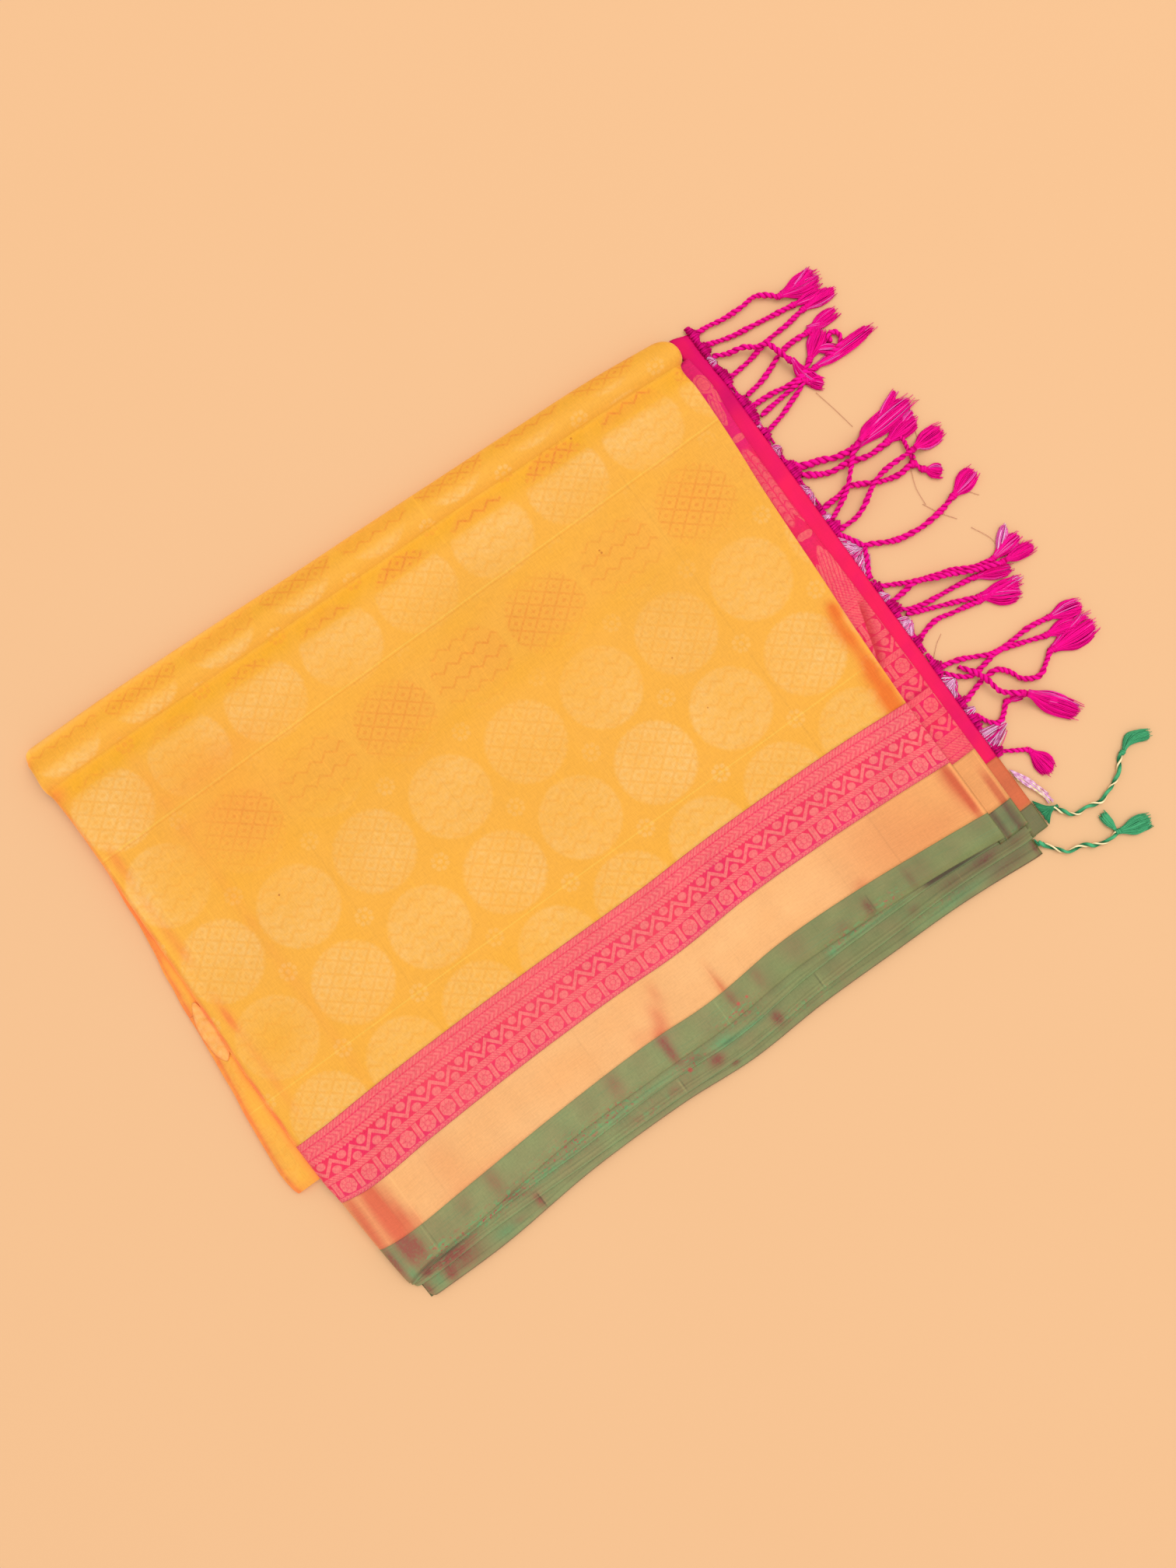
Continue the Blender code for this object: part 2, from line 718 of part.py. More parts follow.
class Builder:
    """Collects the points and faces of one closed mesh."""

    def __init__(self):
        self.points = []
        self.faces = []

    def add(self, corners):
        start = len(self.points)
        self.points += corners
        return list(range(start, start + len(corners)))

    def sweep(self, ring, corners):
        """Sides from a ring to a new one."""
        new = self.add(corners)
        for i in range(len(ring)):
            k = (i + 1) % len(ring)
            self.faces.append((ring[i], ring[k], new[k], new[i]))
        return new


def add_lock(builder, ring, start, heading, length, half_wide, lift):
    """One lock of a tassel: swells a little, then narrows and comes down to the floor."""
    for share, wide, high in ((0.4, 1.1, 1.0), (0.8, 0.8, 0.8), (1.0, 0.3, 0.4)):
        centre = start + heading * length * share
        centre.z = mix(start.z, CORD_LEVEL - 0.6 + lift, share)
        corners = ring_at(centre, heading, half_wide * wide, TUFT_HALF_HEIGHT * high)
        ring = builder.sweep(ring, corners)
    builder.faces.append(tuple(ring))


def add_cord(builder, ring, cord, start_x):
    """A cord from its root on the strip to its knot, and the tassel's locks after it."""
    stops = [Vector((x, y, 0)) for x, y in (cord.bend_a, cord.bend_b, cord.knot)]
    root = Vector((start_x, cord.root, 0))
    path = curve_through([root] + stops, CORD_STEPS)
    for k in range(1, len(path)):
        heading = (path[min(k + 1, len(path) - 1)] - path[k - 1]).normalized()
        share = k / (len(path) - 1)
        centre = path[k].copy()
        centre.z = CORD_LEVEL + cord.lift * ease(0.0, 0.45, share)
        ring = builder.sweep(ring, ring_at(centre, heading, CORD_HALF, CORD_HALF))
    knot = path[-1]
    knot.z = CORD_LEVEL + cord.lift
    tip = Vector((*cord.tip, 0))
    heading = tip - Vector((knot.x, knot.y, 0))
    length = heading.length
    heading.normalize()
    ring = builder.sweep(ring, ring_at(knot + heading * 3.0, heading, KNOT_HALF, CORD_HALF + 0.4))
    ring = builder.sweep(ring, ring_at(knot + heading * 6.0, heading, KNOT_HALF * 0.8, CORD_HALF))
    head = knot + heading * 9.0
    half = KNOT_HALF * 1.5
    low = ring_at(head, heading, half, TUFT_HALF_HEIGHT)[0][2]
    side = Vector((-heading.y, heading.x, 0))
    fan = [head + side * half * (2 * k / LOCKS - 1) for k in range(LOCKS + 1)]
    bottom = builder.add([(p.x, p.y, low) for p in fan])
    top = builder.add([(p.x, p.y, low + 2 * TUFT_HALF_HEIGHT) for p in fan])
    builder.faces.append((ring[0], ring[1], *reversed(bottom)))
    builder.faces.append((ring[2], ring[3], *top))
    builder.faces.append((ring[3], ring[0], bottom[0], top[0]))
    builder.faces.append((ring[1], ring[2], top[-1], bottom[-1]))
    for k in range(LOCKS):
        turn = math.radians(LOCK_FAN * (2 * k / (LOCKS - 1) - 1))
        away = Vector(
            (
                heading.x * math.cos(turn) - heading.y * math.sin(turn),
                heading.x * math.sin(turn) + heading.y * math.cos(turn),
                0,
            )
        )
        lock_ring = [bottom[k], bottom[k + 1], top[k + 1], top[k]]
        start = (fan[k] + fan[k + 1]) / 2
        reach = (length - 9.0) * (1.0 - 0.12 * ((k + round(cord.root)) % 3))
        add_lock(builder, lock_ring, start, away, reach, half / LOCKS, cord.lift)


def make_fringe(name, cords, finish, high_end, low_end, strip_x=STRIP_START, strip_width=STRIP_WIDTH):
    """A narrow knotted strip along the hem with its cords, as one closed mesh."""
    cords = sorted(cords, key=lambda cord: cord.root)
    stops = [low_end]
    for cord in cords:
        stops += [cord.root - cord.root_half, cord.root + cord.root_half]
    stops.append(high_end)
    builder = Builder()
    outer = strip_x + strip_width
    rings = []
    for y in stops:
        corners = ((strip_x, STRIP_LOW), (outer, STRIP_LOW), (outer, STRIP_HIGH), (strip_x, STRIP_HIGH))
        rings.append(builder.add([(x, y, z) for x, z in corners]))
    builder.faces.append(tuple(rings[0]))
    builder.faces.append(tuple(reversed(rings[-1])))
    for k in range(len(rings) - 1):
        here = rings[k]
        there = rings[k + 1]
        for i in range(4):
            n = (i + 1) % 4
            if i == 1 and k % 2 == 1:
                continue
            builder.faces.append((here[i], there[i], there[n], here[n]))
        if k % 2 == 1:
            root_ring = [here[1], there[1], there[2], here[2]]
            add_cord(builder, root_ring, cords[k // 2], outer)
    return add_object(name, builder.points, builder.faces, finish)


def build():
    for old in list(bpy.data.objects):
        bpy.data.objects.remove(old)
    walls = make_top_layer()
    walls.append(make_selvedge("second", 1, PALLU_START - SEAM, None))
    walls.append(make_selvedge("third", 2, HEM_START - SEAM, None))
    walls.append(make_selvedge("lowest", 3, LOWEST_RIGHT, LEFT_LEVEL_ON_FLOOR))
    walls += make_pallu()
    walls += make_hem()
    make_inner_folds(walls)
    make_left_fold("left_fold_upper", UPPER_FOLD, 26.3, 305.0)
    make_left_fold("left_fold_lower", LOWER_FOLD, LEFT_FOLDS_END, 26.0)
    make_fringe("fringe_top", FRINGE_TOP, "crimson_cord", 274, 140)
    make_fringe("fringe_upper", FRINGE_UPPER, "crimson_cord", 139.7, -15)
    make_fringe("fringe_middle", FRINGE_MIDDLE, "crimson_cord", -15.3, -100)
    make_fringe("fringe_lower", FRINGE_LOWER, "crimson_cord", -100.3, -217)
    make_fringe("fringe_green", FRINGE_GREEN, "green_cord", -268, -293)
    make_fringe("fringe_green_low", FRINGE_GREEN_LOW, "green_cord", -299, -307, 357.0, 2.5)


build()
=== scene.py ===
"""The looks of a folded silk saree lying flat: woven cloth, borders and a corded fringe.

Metres, +Z up, in the frame of the solids. Places in the tables are in millimetres. The
cloth's own map, called cloth, holds metres along and across the weave.
"""

import math
import random
from collections import namedtuple

import bpy
import numpy as np
from mathutils import Matrix, Vector


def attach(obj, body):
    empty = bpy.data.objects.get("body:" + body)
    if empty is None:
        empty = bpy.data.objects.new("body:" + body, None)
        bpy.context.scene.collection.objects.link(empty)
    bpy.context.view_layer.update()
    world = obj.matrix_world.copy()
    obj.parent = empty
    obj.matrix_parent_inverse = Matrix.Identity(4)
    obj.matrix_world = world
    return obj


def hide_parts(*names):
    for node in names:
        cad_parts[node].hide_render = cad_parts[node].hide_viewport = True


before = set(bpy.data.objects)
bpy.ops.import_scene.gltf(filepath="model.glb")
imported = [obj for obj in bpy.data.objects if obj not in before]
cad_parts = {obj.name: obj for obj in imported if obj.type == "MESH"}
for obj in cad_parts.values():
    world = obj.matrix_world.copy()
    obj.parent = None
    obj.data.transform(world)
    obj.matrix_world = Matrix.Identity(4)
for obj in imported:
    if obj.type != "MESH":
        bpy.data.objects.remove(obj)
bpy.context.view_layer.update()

MM = 0.001

# The camera, almost straight above
CAMERA_PLACE = (0.0312, -0.029, 1.0919)
CAMERA_VIEW = (0.0204, 0.0137, -0.9997)
CAMERA_UP = (0.587, 0.8093, 0.0231)
CAMERA_LENS = 27.05
CAMERA_SENSOR = 36.0

# The light and the floor, in metres
WORLD_TINT = (1.0, 0.98, 0.95, 1.0)
WORLD_STRENGTH = 0.96
KEY_PLACE = (4.6, 1.2, 10.3)
KEY_SIZE = 9.0
KEY_POWER = 446.0
KEY_TINT = (1.0, 0.99, 0.97)
FLOOR_HALF = 4.0

# Cloth
SHELL_THICKNESS = 0.5
ABOVE_FLOOR = 0.1
SEAM = 0.3
LAYER_DROP = 2.4
EDGE_DROP = 1.2
END_COLUMNS = 5
SHEET_COLUMNS = 216
SELVEDGE_COLUMNS = 220
RIPPLE_WAVES = 7

# The roll: its crest above its sides, its foot, and its right end
ROLL_RISE = 10.6
ROLL_SIDE_LEVEL = 8.5
ROLL_SOFTNESS = 1.8
ROLL_FOOT_LEVEL = 0.8
ROLL_FOOT_INSET = 1.5
ROLL_FOOT_SHARE = 0.12
ROLL_END_ROUND = 8.0
ROLL_END_LEVEL = 7.8
ROLL_END_ON_HEM = 4.2
ROLL_END_FROM = 236.0
ROLL_END_TO = 256.0

# The two ends of the top layer, and the folded stretches past the left one
LEFT_ROUND = 7.0
LEFT_LEVEL_ON_FOLDS = 8.6
LEFT_LEVEL_ON_FLOOR = 1.7
LEFT_FOLDS_END = -162.0
LEFT_FOLDS_MEET = 26.0
LEFT_FOLDS_TOP = 296.0
RIGHT_ROUND = 3.0
RIGHT_DROP = 2.4
FOLD_LAYERS = 4
FOLD_STEP = 2.5
FOLD_TOP_LEVEL = 8.0
FOLD_EDGE_SHARE = 0.86
FOLD_EDGE_ROUND = 3.0
FOLD_SHARP_ANGLE = 60.0
FLAP_THICKNESS = 0.3
FLAP_CROWN = 1.5

# The loose end, down its length, and its hem
PALLU_START = 329.0
PALLU_TOP = 252.0
PALLU_ZARI = -125.0
PALLU_GOLD = -197.0
PALLU_GREEN = -253.5
PALLU_FOOT = -283.0
PALLU_EXTRA_DROP = 1.8
PALLU_DROP_FROM = 285.0
END_EXTRA_DROP = 2.2
END_DROP_FROM = 338.0
END_DROP_TO = 372.0
THIRD_RIGHT = 361.5
LOWEST_RIGHT = 357.0
HEM_UNDER = 4.0
HEM_TOP_LEFT = 357.5
HEM_TOP_SLANT = 5.0
HEM_END = 376.5
HEM_TOP = 276.0
HEM_GOLD = -215.5
HEM_GREEN = -269.5
HEM_FOOT = -296.0
HEM_ROUND = 4.5
HEM_FOOT_LEVEL = 1.3
HEM_LEVEL_AT_ROLL = 3.4
HEM_TOP_LEVEL = 2.6
PALLU_LEVEL_AT_ROLL = 5.6
UNDER_ROLL = 241.0
GOLD_STRIPE = 354.6

# How much of a screen colour a material keeps, the light making up the rest
ALBEDO_SHARE = 0.8

# The woven pattern
PITCH = 85.0
FIRST_CIRCLE = (-310.0, 220.0)
CIRCLE_RADIUS = 38.2
NET_LONG = 9.7
NET_WIDE = 8.0
ZIGZAG_HALF = 8.15
ZIGZAG_SLOPE = 0.74
ZIGZAG_REPEAT = 15.3
ROSETTE_RADIUS = 6.6
LIGHT_GUIDES = (-77.0, 187.5)
DARK_GUIDE = 185.3
BAND_WIDTH = 66.0
BAND_REPEAT = 21.55
BAND_MIDDLE = 30.0
GOLD_WIDTH = 53.0
GREEN_WIDTH = 30.0
PANEL_MIDDLE = 352.0
PANEL_ROWS_TOP = -43.0
PANEL_ROWS_FOOT = -173.0
PANEL_ROWS_REPEAT = 45.0
PANEL_RULES = (-19.0, -26.0, -179.5, -191.0)
SCALES_MIDDLE = 346.5
SCALE_WIDTH = 7.6
SCALE_HEIGHT = 8.6
STROKE_REPEAT = 3.6

# The fringe: plies of a material each, with their share of the cord's thickness
CORD_LEVEL = 3.0
PLY_RADIUS = 1.55
TWIST_RADIUS = 1.15
TWIST_PITCH = 11.5
PLAIN_PLIES = ((1.0, 0), (1.0, 0))
GREEN_PLIES = ((1.25, 0), (0.62, 1))
GREEN_PITCH = 27.0
CORD_STEP = 0.9
CURVE_STEPS = 24
KNOT_TURNS = 2.6
KNOT_RADIUS = 1.5
TUFT_STRANDS = 120
TUFT_HALF = 8.0
TUFT_HEIGHT = 4.6
STRAND_RADIUS = 0.55
STRAND_ABOVE_FLOOR = 0.75
FAN_ROOT = HEM_END + 2.5
FAN_RADIUS = 0.42
WRAP_ROOT = HEM_END + 3.0
WRAP_RADIUS = 1.25
GUSSET_THREADS = 34
GUSSET_RADIUS = 0.55
PALE_THREADS = 16
PALE_RADIUS = 0.6
STRAY_RADIUS = 0.26
THREAD_ABOVE_FLOOR = 0.15

# Materials of the crimson cords' meshes, by number
MAGENTA = 0
LILAC = 1
ORCHID = 2

CORD = "path tip thick tuft lift"
CREASE = "x half low high shade"
EDGE = "y x"
MARK = "x y half"
PATCH = "x y half_x half_y strength"


def table(columns, *rows):
    """Rows whose values go by the names of their columns."""
    kind = namedtuple("Row", columns)
    return [kind(*row) for row in rows]


# Lines along the top layer's bands and the layers below: the Y of each at some X
LINES = table(
    "x roll valley zari gold green edge second third lowest",
    (-350, 312, 268, -125.5, -191, -245.5, -288, -292, -294.5, -311),
    (-320, 312, 268, -125, -195, -249, -281, -286, -295.5, -311.5),
    (-250, 311, 267.5, -121.5, -190.5, -245.5, -277, -282, -293.5, -311),
    (-150, 307, 265, -119.5, -186.5, -240, -268, -281.5, -295, -303.5),
    (-50, 302, 263, -119.5, -185.5, -237.5, -267, -279.5, -297, -303.5),
    (30, 299, 261.5, -120, -187.5, -240.5, -268.5, -283.5, -300, -309),
    (110, 295.5, 260, -118, -183.5, -234.5, -263, -276.5, -294.5, -305.5),
    (190, 292, 257, -118.5, -184.5, -237, -266, -275, -293, -306),
    (270, 288, 254, -121, -188.5, -244, -271.6, -276.5, -292, -307.5),
    (350, 280, 249, -126.5, -194.5, -252.5, -281, -284, -297, -314),
)

# The top layer's left and right ends at some Y
SIDES = table(
    "y left right",
    (-314, -342, 336.5), (-288, -344, 336.5), (-250, -349.5, 335.5), (-190, -353.5, 334.5),
    (-125, -356, 334), (-80, -356, 335), (-30, -355, 336.5), (20, -352.5, 339), (120, -350.5, 343),
    (170, -349.5, 346.5), (220, -349, 348.6), (250, -350, 349), (258, -351, 349.4), (262, -352.3, 350.6),
    (266, -352.5, 354.6), (271, -351.8, 357), (277, -351, 357.8), (285, -351, 357.2), (291, -351.3, 355),
    (297, -350, 350.5), (301, -346.5, 345.5), (312, -345, 343),
)

# The top layer's height, and the broad dents and fine creases in it
RISES = table(
    "y z",
    (-320, 12), (-276, 12.9), (-240, 14), (-190, 14.9), (-120, 15.7), (0, 16.6), (100, 17.2), (200, 17.6),
    (270, 16.8),
)
TROUGHS = table(
    PATCH,
    (-17, -212, 14, 40, 1.6), (40, -262, 22, 26, 1), (-322, -225, 9, 60, 1.3), (-338, -215, 6, 70, -0.7),
    (322, -215, 8, 60, 1.1), (-230, 60, 40, 220, 0.8), (150, 90, 60, 200, 0.8), (120, -230, 60, 50, -1.2),
)
CREASES = table(
    PATCH,
    (-265, 60, 2.2, 240, 0.35), (-180, 40, 3, 200, -0.25), (-95, 30, 2.5, 230, 0.35),
    (75, 20, 2.2, 260, 0.35), (160, -40, 3, 180, -0.2), (245, 60, 2.5, 200, 0.25), (-300, 190, 12, 60, 0.7),
    (-335, 120, 7, 50, 0.6), (-335, -20, 6, 60, 0.5), (-120, 240, 90, 8, 0.5), (140, 236, 120, 8, 0.5),
    (34, -230, 2.5, 18, 0.5), (-290, -216, 2, 40, -0.4), (205, -214, 2.5, 40, -0.25),
    (255, -205, 2, 50, -0.25), (-205, -225, 2.5, 45, 0.25), (-262, -220, 2, 45, 0.25),
)

# The outer edges of the folded stretches, the right edge of the loose end's top layer, and
# the flap that lies on the lower stretch: its middle and half width
UPPER_FOLD = table(
    EDGE,
    (26, -368.5), (50, -366.5), (70, -364.5), (90, -361), (120, -357), (160, -353.5), (200, -351),
    (240, -349.5), (296, -349.5),
)
LOWER_FOLD = table(
    EDGE,
    (-162, -381.5), (-155, -383.5), (-140, -384.5), (-120, -383.5), (-100, -381.5), (-60, -377),
    (-20, -372.5), (26, -368.8),
)
PALLU_EDGE = table(
    EDGE,
    (-283, 362), (-125, 361.5), (0, 360.3), (50, 359), (100, 358.2), (150, 359), (190, 360.8), (212, 363.5),
    (232, 363.5), (252, 361.5),
)
FLAP = table(
    "y x half",
    (-26, -361.5, 0.4), (-21, -360.6, 5), (-12, -360.3, 7.6), (0, -359.8, 8.4), (12, -359.2, 8.2),
    (22, -358.4, 6.6), (30, -357.2, 4.2), (36, -356.2, 1.6),
)

# The hem's shades down its length: how far it turns to magenta, and how dark it is in painted shade
HEM_SHADES = table(
    "y magenta dark",
    (-215, 0.25, 0), (-175, 0.45, 0), (-130, 0.25, 0), (-60, 0.05, 0), (60, 0.15, 0), (104, 0.08, -0.02),
    (112, 0.35, 0.03), (160, 0.35, 0.02), (180, 0.45, 0.03), (192, 0.85, 0.12), (206, 0.95, 0.12),
    (216, 0.6, -0.02), (232, 0.75, 0), (245, 0.8, 0), (255, 0.6, 0), (268, 0.55, 0.02), (276, 0.95, 0.12),
)

# What the lower edges have of their own: how round their left corner is, where they begin,
# and their steps: how far in from the edge, how much that wanders, and the height
SELVEDGES = {
    "second": (1.5, -346.0, ((3.2, 1.2, 0.4), (6.2, 1.6, 0.4))),
    "third": (3.5, -344.5, ((4.4, 1.6, 0.4), (7.8, 1.4, 0.4))),
    "lowest": (6.5, -338.0, ((8.2, 1.6, 0.35),)),
}

# Cords of the fringe: the way each takes over the floor from the hem to its knot, the tip of
# its tassel, how thick it is, how wide its tassel, and how high it passes over another cord
FRINGE_TOP = table(
    CORD,
    (((379, 267), (395, 266), (410, 263), (430, 262), (446, 263), (457, 257), (464, 250)),
     (507, 241), 1, 1.3, 1.5),
    (((380, 254), (395, 249), (410, 245), (430, 242), (450, 239), (470, 236)), (500, 231), 1, 0.7, 0),
    (((382, 241), (395, 234), (408, 230), (418, 223), (428, 220), (432, 210), (436, 196)),
     (446, 162), 1.05, 0.9, 5.5),
    (((384, 215), (405, 217), (420, 220), (435, 223), (455, 224), (475, 227)), (512, 226), 1, 0.85, 0),
    (((386, 192), (405, 195), (420, 200), (435, 206), (450, 208), (466, 207)), (502, 210), 1.05, 0.8, 0),
    (((386, 181), (405, 180), (425, 177), (440, 178), (452, 184)), (480, 203), 1.05, 1.1, 0),
    (((386, 169), (405, 171), (425, 173), (440, 176), (452, 176)), (520, 175), 1, 0.85, 0),
    (((384, 154), (402, 158), (416, 163), (430, 168), (438, 172)), (452, 160), 1, 0.75, 0),
)
FRINGE_UPPER = table(
    CORD,
    (((384, 113), (392, 107), (405, 103), (418, 97), (436, 93)), (508, 104), 1.35, 1.3, 0),
    (((384, 102), (395, 94), (408, 88), (425, 86), (445, 80), (465, 80)), (502, 84), 1.2, 1.15, 0),
    (((381, 65), (400, 66), (412, 68), (423, 63), (432, 58), (442, 53), (458, 49), (470, 50),
     (476, 47), (478, 41)), (492, 27), 1.1, 0.85, 0),
    (((381, 51), (395, 58), (407, 65), (415, 72), (423, 80), (432, 89), (440, 94)),
     (475, 104), 1, 0.8, 5.5),
    (((382, 40), (400, 40), (412, 44), (425, 52), (435, 57), (450, 60), (478, 60)),
     (516, 61), 1.05, 1.1, 5),
    (((391, 14), (398, 12), (405, 8), (420, 1), (435, -2), (450, -3), (470, -1), (485, 3)),
     (518, 9), 1.15, 1.1, 0),
)
FRINGE_MIDDLE = table(
    CORD,
    (((378, -23), (395, -32), (410, -40), (425, -45), (445, -52), (460, -60), (480, -66)),
     (515, -62), 1.05, 0.95, 0),
    (((380, -43), (395, -42), (410, -41), (425, -48), (440, -54), (455, -62), (485, -73)),
     (521, -78), 1.05, 0.85, 4.2),
    (((382, -52), (392, -58), (405, -62), (420, -64), (438, -66), (456, -69)), (492, -82), 1, 0.9, 0),
    (((386, -60), (405, -68), (420, -74), (435, -80), (449, -86)), (486, -104), 1, 1.45, 0),
    (((380, -87), (395, -82), (408, -81), (420, -84), (435, -87), (447, -90)), (490, -94), 1, 1, 0),
)
FRINGE_LOWER = table(
    CORD,
    (((381, -118), (400, -123), (415, -130), (430, -137), (445, -138), (470, -137), (490, -140)),
     (524, -148), 1.05, 1.05, 0),
    (((382, -126), (395, -139), (405, -142), (420, -140), (435, -138), (455, -144), (478, -152)),
     (512, -158), 1.05, 0.95, 0),
    (((396, -128), (404, -140), (409, -154), (412, -168), (420, -176), (428, -182)),
     (466, -226), 1.1, 1.4, 5.5),
    (((382, -158), (395, -154), (408, -151), (423, -151), (432, -160), (438, -172), (452, -179),
     (464, -173), (474, -166)), (524, -171), 1.05, 1.55, 0),
    (((382, -172), (388, -185), (396, -192), (404, -188), (412, -180)), (430, -184), 1, 0.45, 0),
    (((381, -214), (390, -220), (403, -228)), (411, -257), 0.9, 1.1, 0),
)
FRINGE_GREEN = table(
    CORD,
    (((390, -285), (396, -295), (405, -303), (418, -303), (430, -307), (442, -302), (454, -298),
     (463, -289), (471, -282)), (504, -279), 0.85, 0.7, 0),
)
FRINGE_GREEN_LOW = table(
    CORD,
    (((359, -303), (366, -312), (375, -325), (388, -328), (400, -335), (412, -340), (424, -338)),
     (456, -350), 0.85, 1, 0),
)

# The crimson groups: their stretch of the hem's edge, and the materials of their loose locks
GROUPS = table(
    "node cords high low lock_paints",
    ("fringe_top", FRINGE_TOP, 273, 141, (MAGENTA, MAGENTA, MAGENTA, ORCHID)),
    ("fringe_upper", FRINGE_UPPER, 139, -14, (MAGENTA, MAGENTA, MAGENTA, ORCHID)),
    ("fringe_middle", FRINGE_MIDDLE, -16, -99, (MAGENTA, ORCHID, ORCHID, LILAC)),
    ("fringe_lower", FRINGE_LOWER, -101, -216, (MAGENTA, MAGENTA, MAGENTA, ORCHID)),
)

# The green groups: where threads gather from the cloth's edge into the cord, from the root
# over a half width to the end, and how far the tassel arches
GREEN_GROUPS = table(
    "node cords seed root half end arch",
    ("fringe_green", FRINGE_GREEN, 120, (377.3, -282), 13, (392, -286), 5),
    ("fringe_green_low", FRINGE_GREEN_LOW, 130, (357.2, -302), 4, (361, -307), 0),
)

# The loose end of one cord, curled back over its tassel
TOP_LOOP = (
    (468, 178, 3.4), (480, 178, 3.6), (489, 184, 3.2), (489, 192, 3.0), (482, 194, 3.0), (479, 187, 3.6),
)

# Two cords that run from the hem's edge to one knot, and a short end between two tassels
UPPER_LINKS = table(
    "path thick",
    (((378, 38, 4.4), (384, 28, 4.6), (391, 15, 3.6)), 0.95),
    (((377, -13, 4.0), (384, -1, 4.2), (391, 13, 3.6)), 0.95),
    (((480, 77, 3.4), (479, 69, 4.6), (477, 61, 5.0), (477, 53, 4.4)), 0.9),
)
UPPER_KNOT = (474.0, 49.5, 3.4)

# The two twisted cords along the hem's edge, to which the others are tied
EDGE_CORDS = table(
    "x level thick",
    (377.6, 2.6, 0.55), (380.2, 2.3, 0.6),
)

# Locks of a tassel that lie apart from it: from, to, and how wide
LOCKS = table(
    "node start end wide",
    ("fringe_top", (462, 190), (482, 181), 0.6), ("fringe_top", (470, 212), (486, 204), 0.35),
    ("fringe_top", (472, 246), (505, 253), 0.55), ("fringe_top", (452, 178), (486, 171), 0.55),
    ("fringe_upper", (470, 101), (501, 116), 0.45), ("fringe_upper", (485, 86), (503, 91), 0.35),
    ("fringe_middle", (488, -65), (510, -46), 0.5), ("fringe_middle", (460, -92), (493, -95), 0.4),
    ("fringe_lower", (495, -160), (518, -158), 0.5), ("fringe_lower", (440, -196), (452, -210), 0.5),
    ("fringe_green_low", (425, -336), (423, -316), 0.5),
)

# Where the hem's edge is gathered in pale threads: the stretch, and how far they reach
FANS = table(
    "high low reach apex",
    (245, 228, 383, 236), (176, 158, 383, 166), (142, 126, 384, 134), (98, 70, 383, 84), (62, 50, 384, 56),
    (38, -14, 392, 13), (-28, -42, 384, -36), (-58, -84, 387, -66), (-124, -152, 388, -134),
    (-160, -176, 386, -168), (-186, -214, 402, -196),
)

# Where dark thread is wound about the hem's edge
WRAPS = table(
    "high low reach",
    (276, 258, 384), (258, 243, 386), (232, 206, 386), (200, 164, 388), (160, 146, 387), (122, 98, 390),
    (70, 60, 385), (54, 36, 388), (-18, -28, 384), (-40, -58, 388), (-80, -92, 386), (-108, -126, 386),
    (-150, -162, 386), (-170, -186, 386), (-206, -218, 386),
)

# Single stray threads on the floor by the fringe: start, middle and end
STRAYS = (
    ((441, 157), (446, 134), (450, 111)), ((460, 14), (468, -2), (478, -16)),
    ((470, 46), (464, 30), (462, 12)), ((490, 6), (500, 0), (508, -10)),
    ((381, -110), (392, -100), (402, -94)), ((490, 60), (505, 96), (516, 95)),
    ((492, -66), (493, -50), (484, -30)),
)

# Soft places on the cloth, lighter, darker or of another tone, and how strongly: mostly painted light and
# shade
# The figure's painted sheen: lighter where it faces the light, darker elsewhere
FIGURES = table(
    PATCH,
    (60, 141, 300, 44, -1.2), (285, 133, 50, 42, -0.62), (-225, 138, 50, 44, -0.5),
    (-140, 141, 50, 40, -0.22), (-336, 136, 12, 36, 0.6), (112, 50, 42, 42, -0.12),
    (288, 50, 42, 42, -0.12), (150, 227, 260, 15, 0.18), (-20, 222, 80, 30, -0.22),
    (150, 247, 260, 7, -0.6), (-310, 222, 40, 45, 0.35), (-140, 228, 50, 22, 0.3),
    (-225, 208, 44, 36, -0.45), (-310, 52, 42, 42, 0.1), (-140, 50, 42, 42, 0.1), (30, 50, 42, 42, -0.2),
    (200, 50, 42, 42, -0.1), (-318, -38, 42, 34, -0.6), (-225, -35, 42, 42, 0.12), (-55, -35, 42, 42, 0.1),
    (30, -35, 42, 42, -0.12), (115, -35, 42, 42, 0.4), (288, -35, 42, 42, 0.25), (-310, -112, 42, 30, 0.15),
)
DEEP_GOLDS = table(
    PATCH,
    (60, 175, 260, 12, 0.25), (60, 105, 260, 12, 0.35), (-230, 100, 60, 16, 0.25), (0, -100, 330, 14, 0.2),
)
# Mostly painted reflected red of the folds at the left, and painted shade at the right end
ORANGES = table(
    PATCH,
    (-334, 178, 4.5, 15, 0.6), (-334, 84, 4.5, 17, 0.55), (-335, 5, 4.5, 22, 0.5), (-335, -60, 4, 45, 0.3),
    (-335, 130, 4, 30, 0.25), (-345, 258, 9, 10, 0.6), (-349, 300, 5, 11, 0.6), (-268, 60, 6, 240, 0.16),
    (-225, 200, 60, 24, 0.2), (-225, 165, 60, 24, 0.12), (-55, 135, 36, 36, 0.1), (115, 135, 36, 36, 0.06),
    (288, 135, 36, 36, 0.08), (-225, 135, 36, 36, 0.12), (330, -17, 6, 9, 1.4), (326, -36, 8.5, 14, 1.6),
    (326.5, -62, 7, 20, 1.1), (324, -95, 9.5, 17, 1.5), (323, -118, 10, 18, 1.7),
)
# Painted reflected red along the top layer's left edge
GLOWS = table(
    PATCH,
    (-350.8, 17, 3, 17, 0.8), (-351.5, -10, 3.2, 16, 0.75), (-353.4, -36, 2.6, 14, 0.3),
    (-353.8, -62, 3.4, 19, 0.75), (-354.2, -98, 3.8, 19, 0.85), (-335.5, 4, 4, 16, 0.45),
)
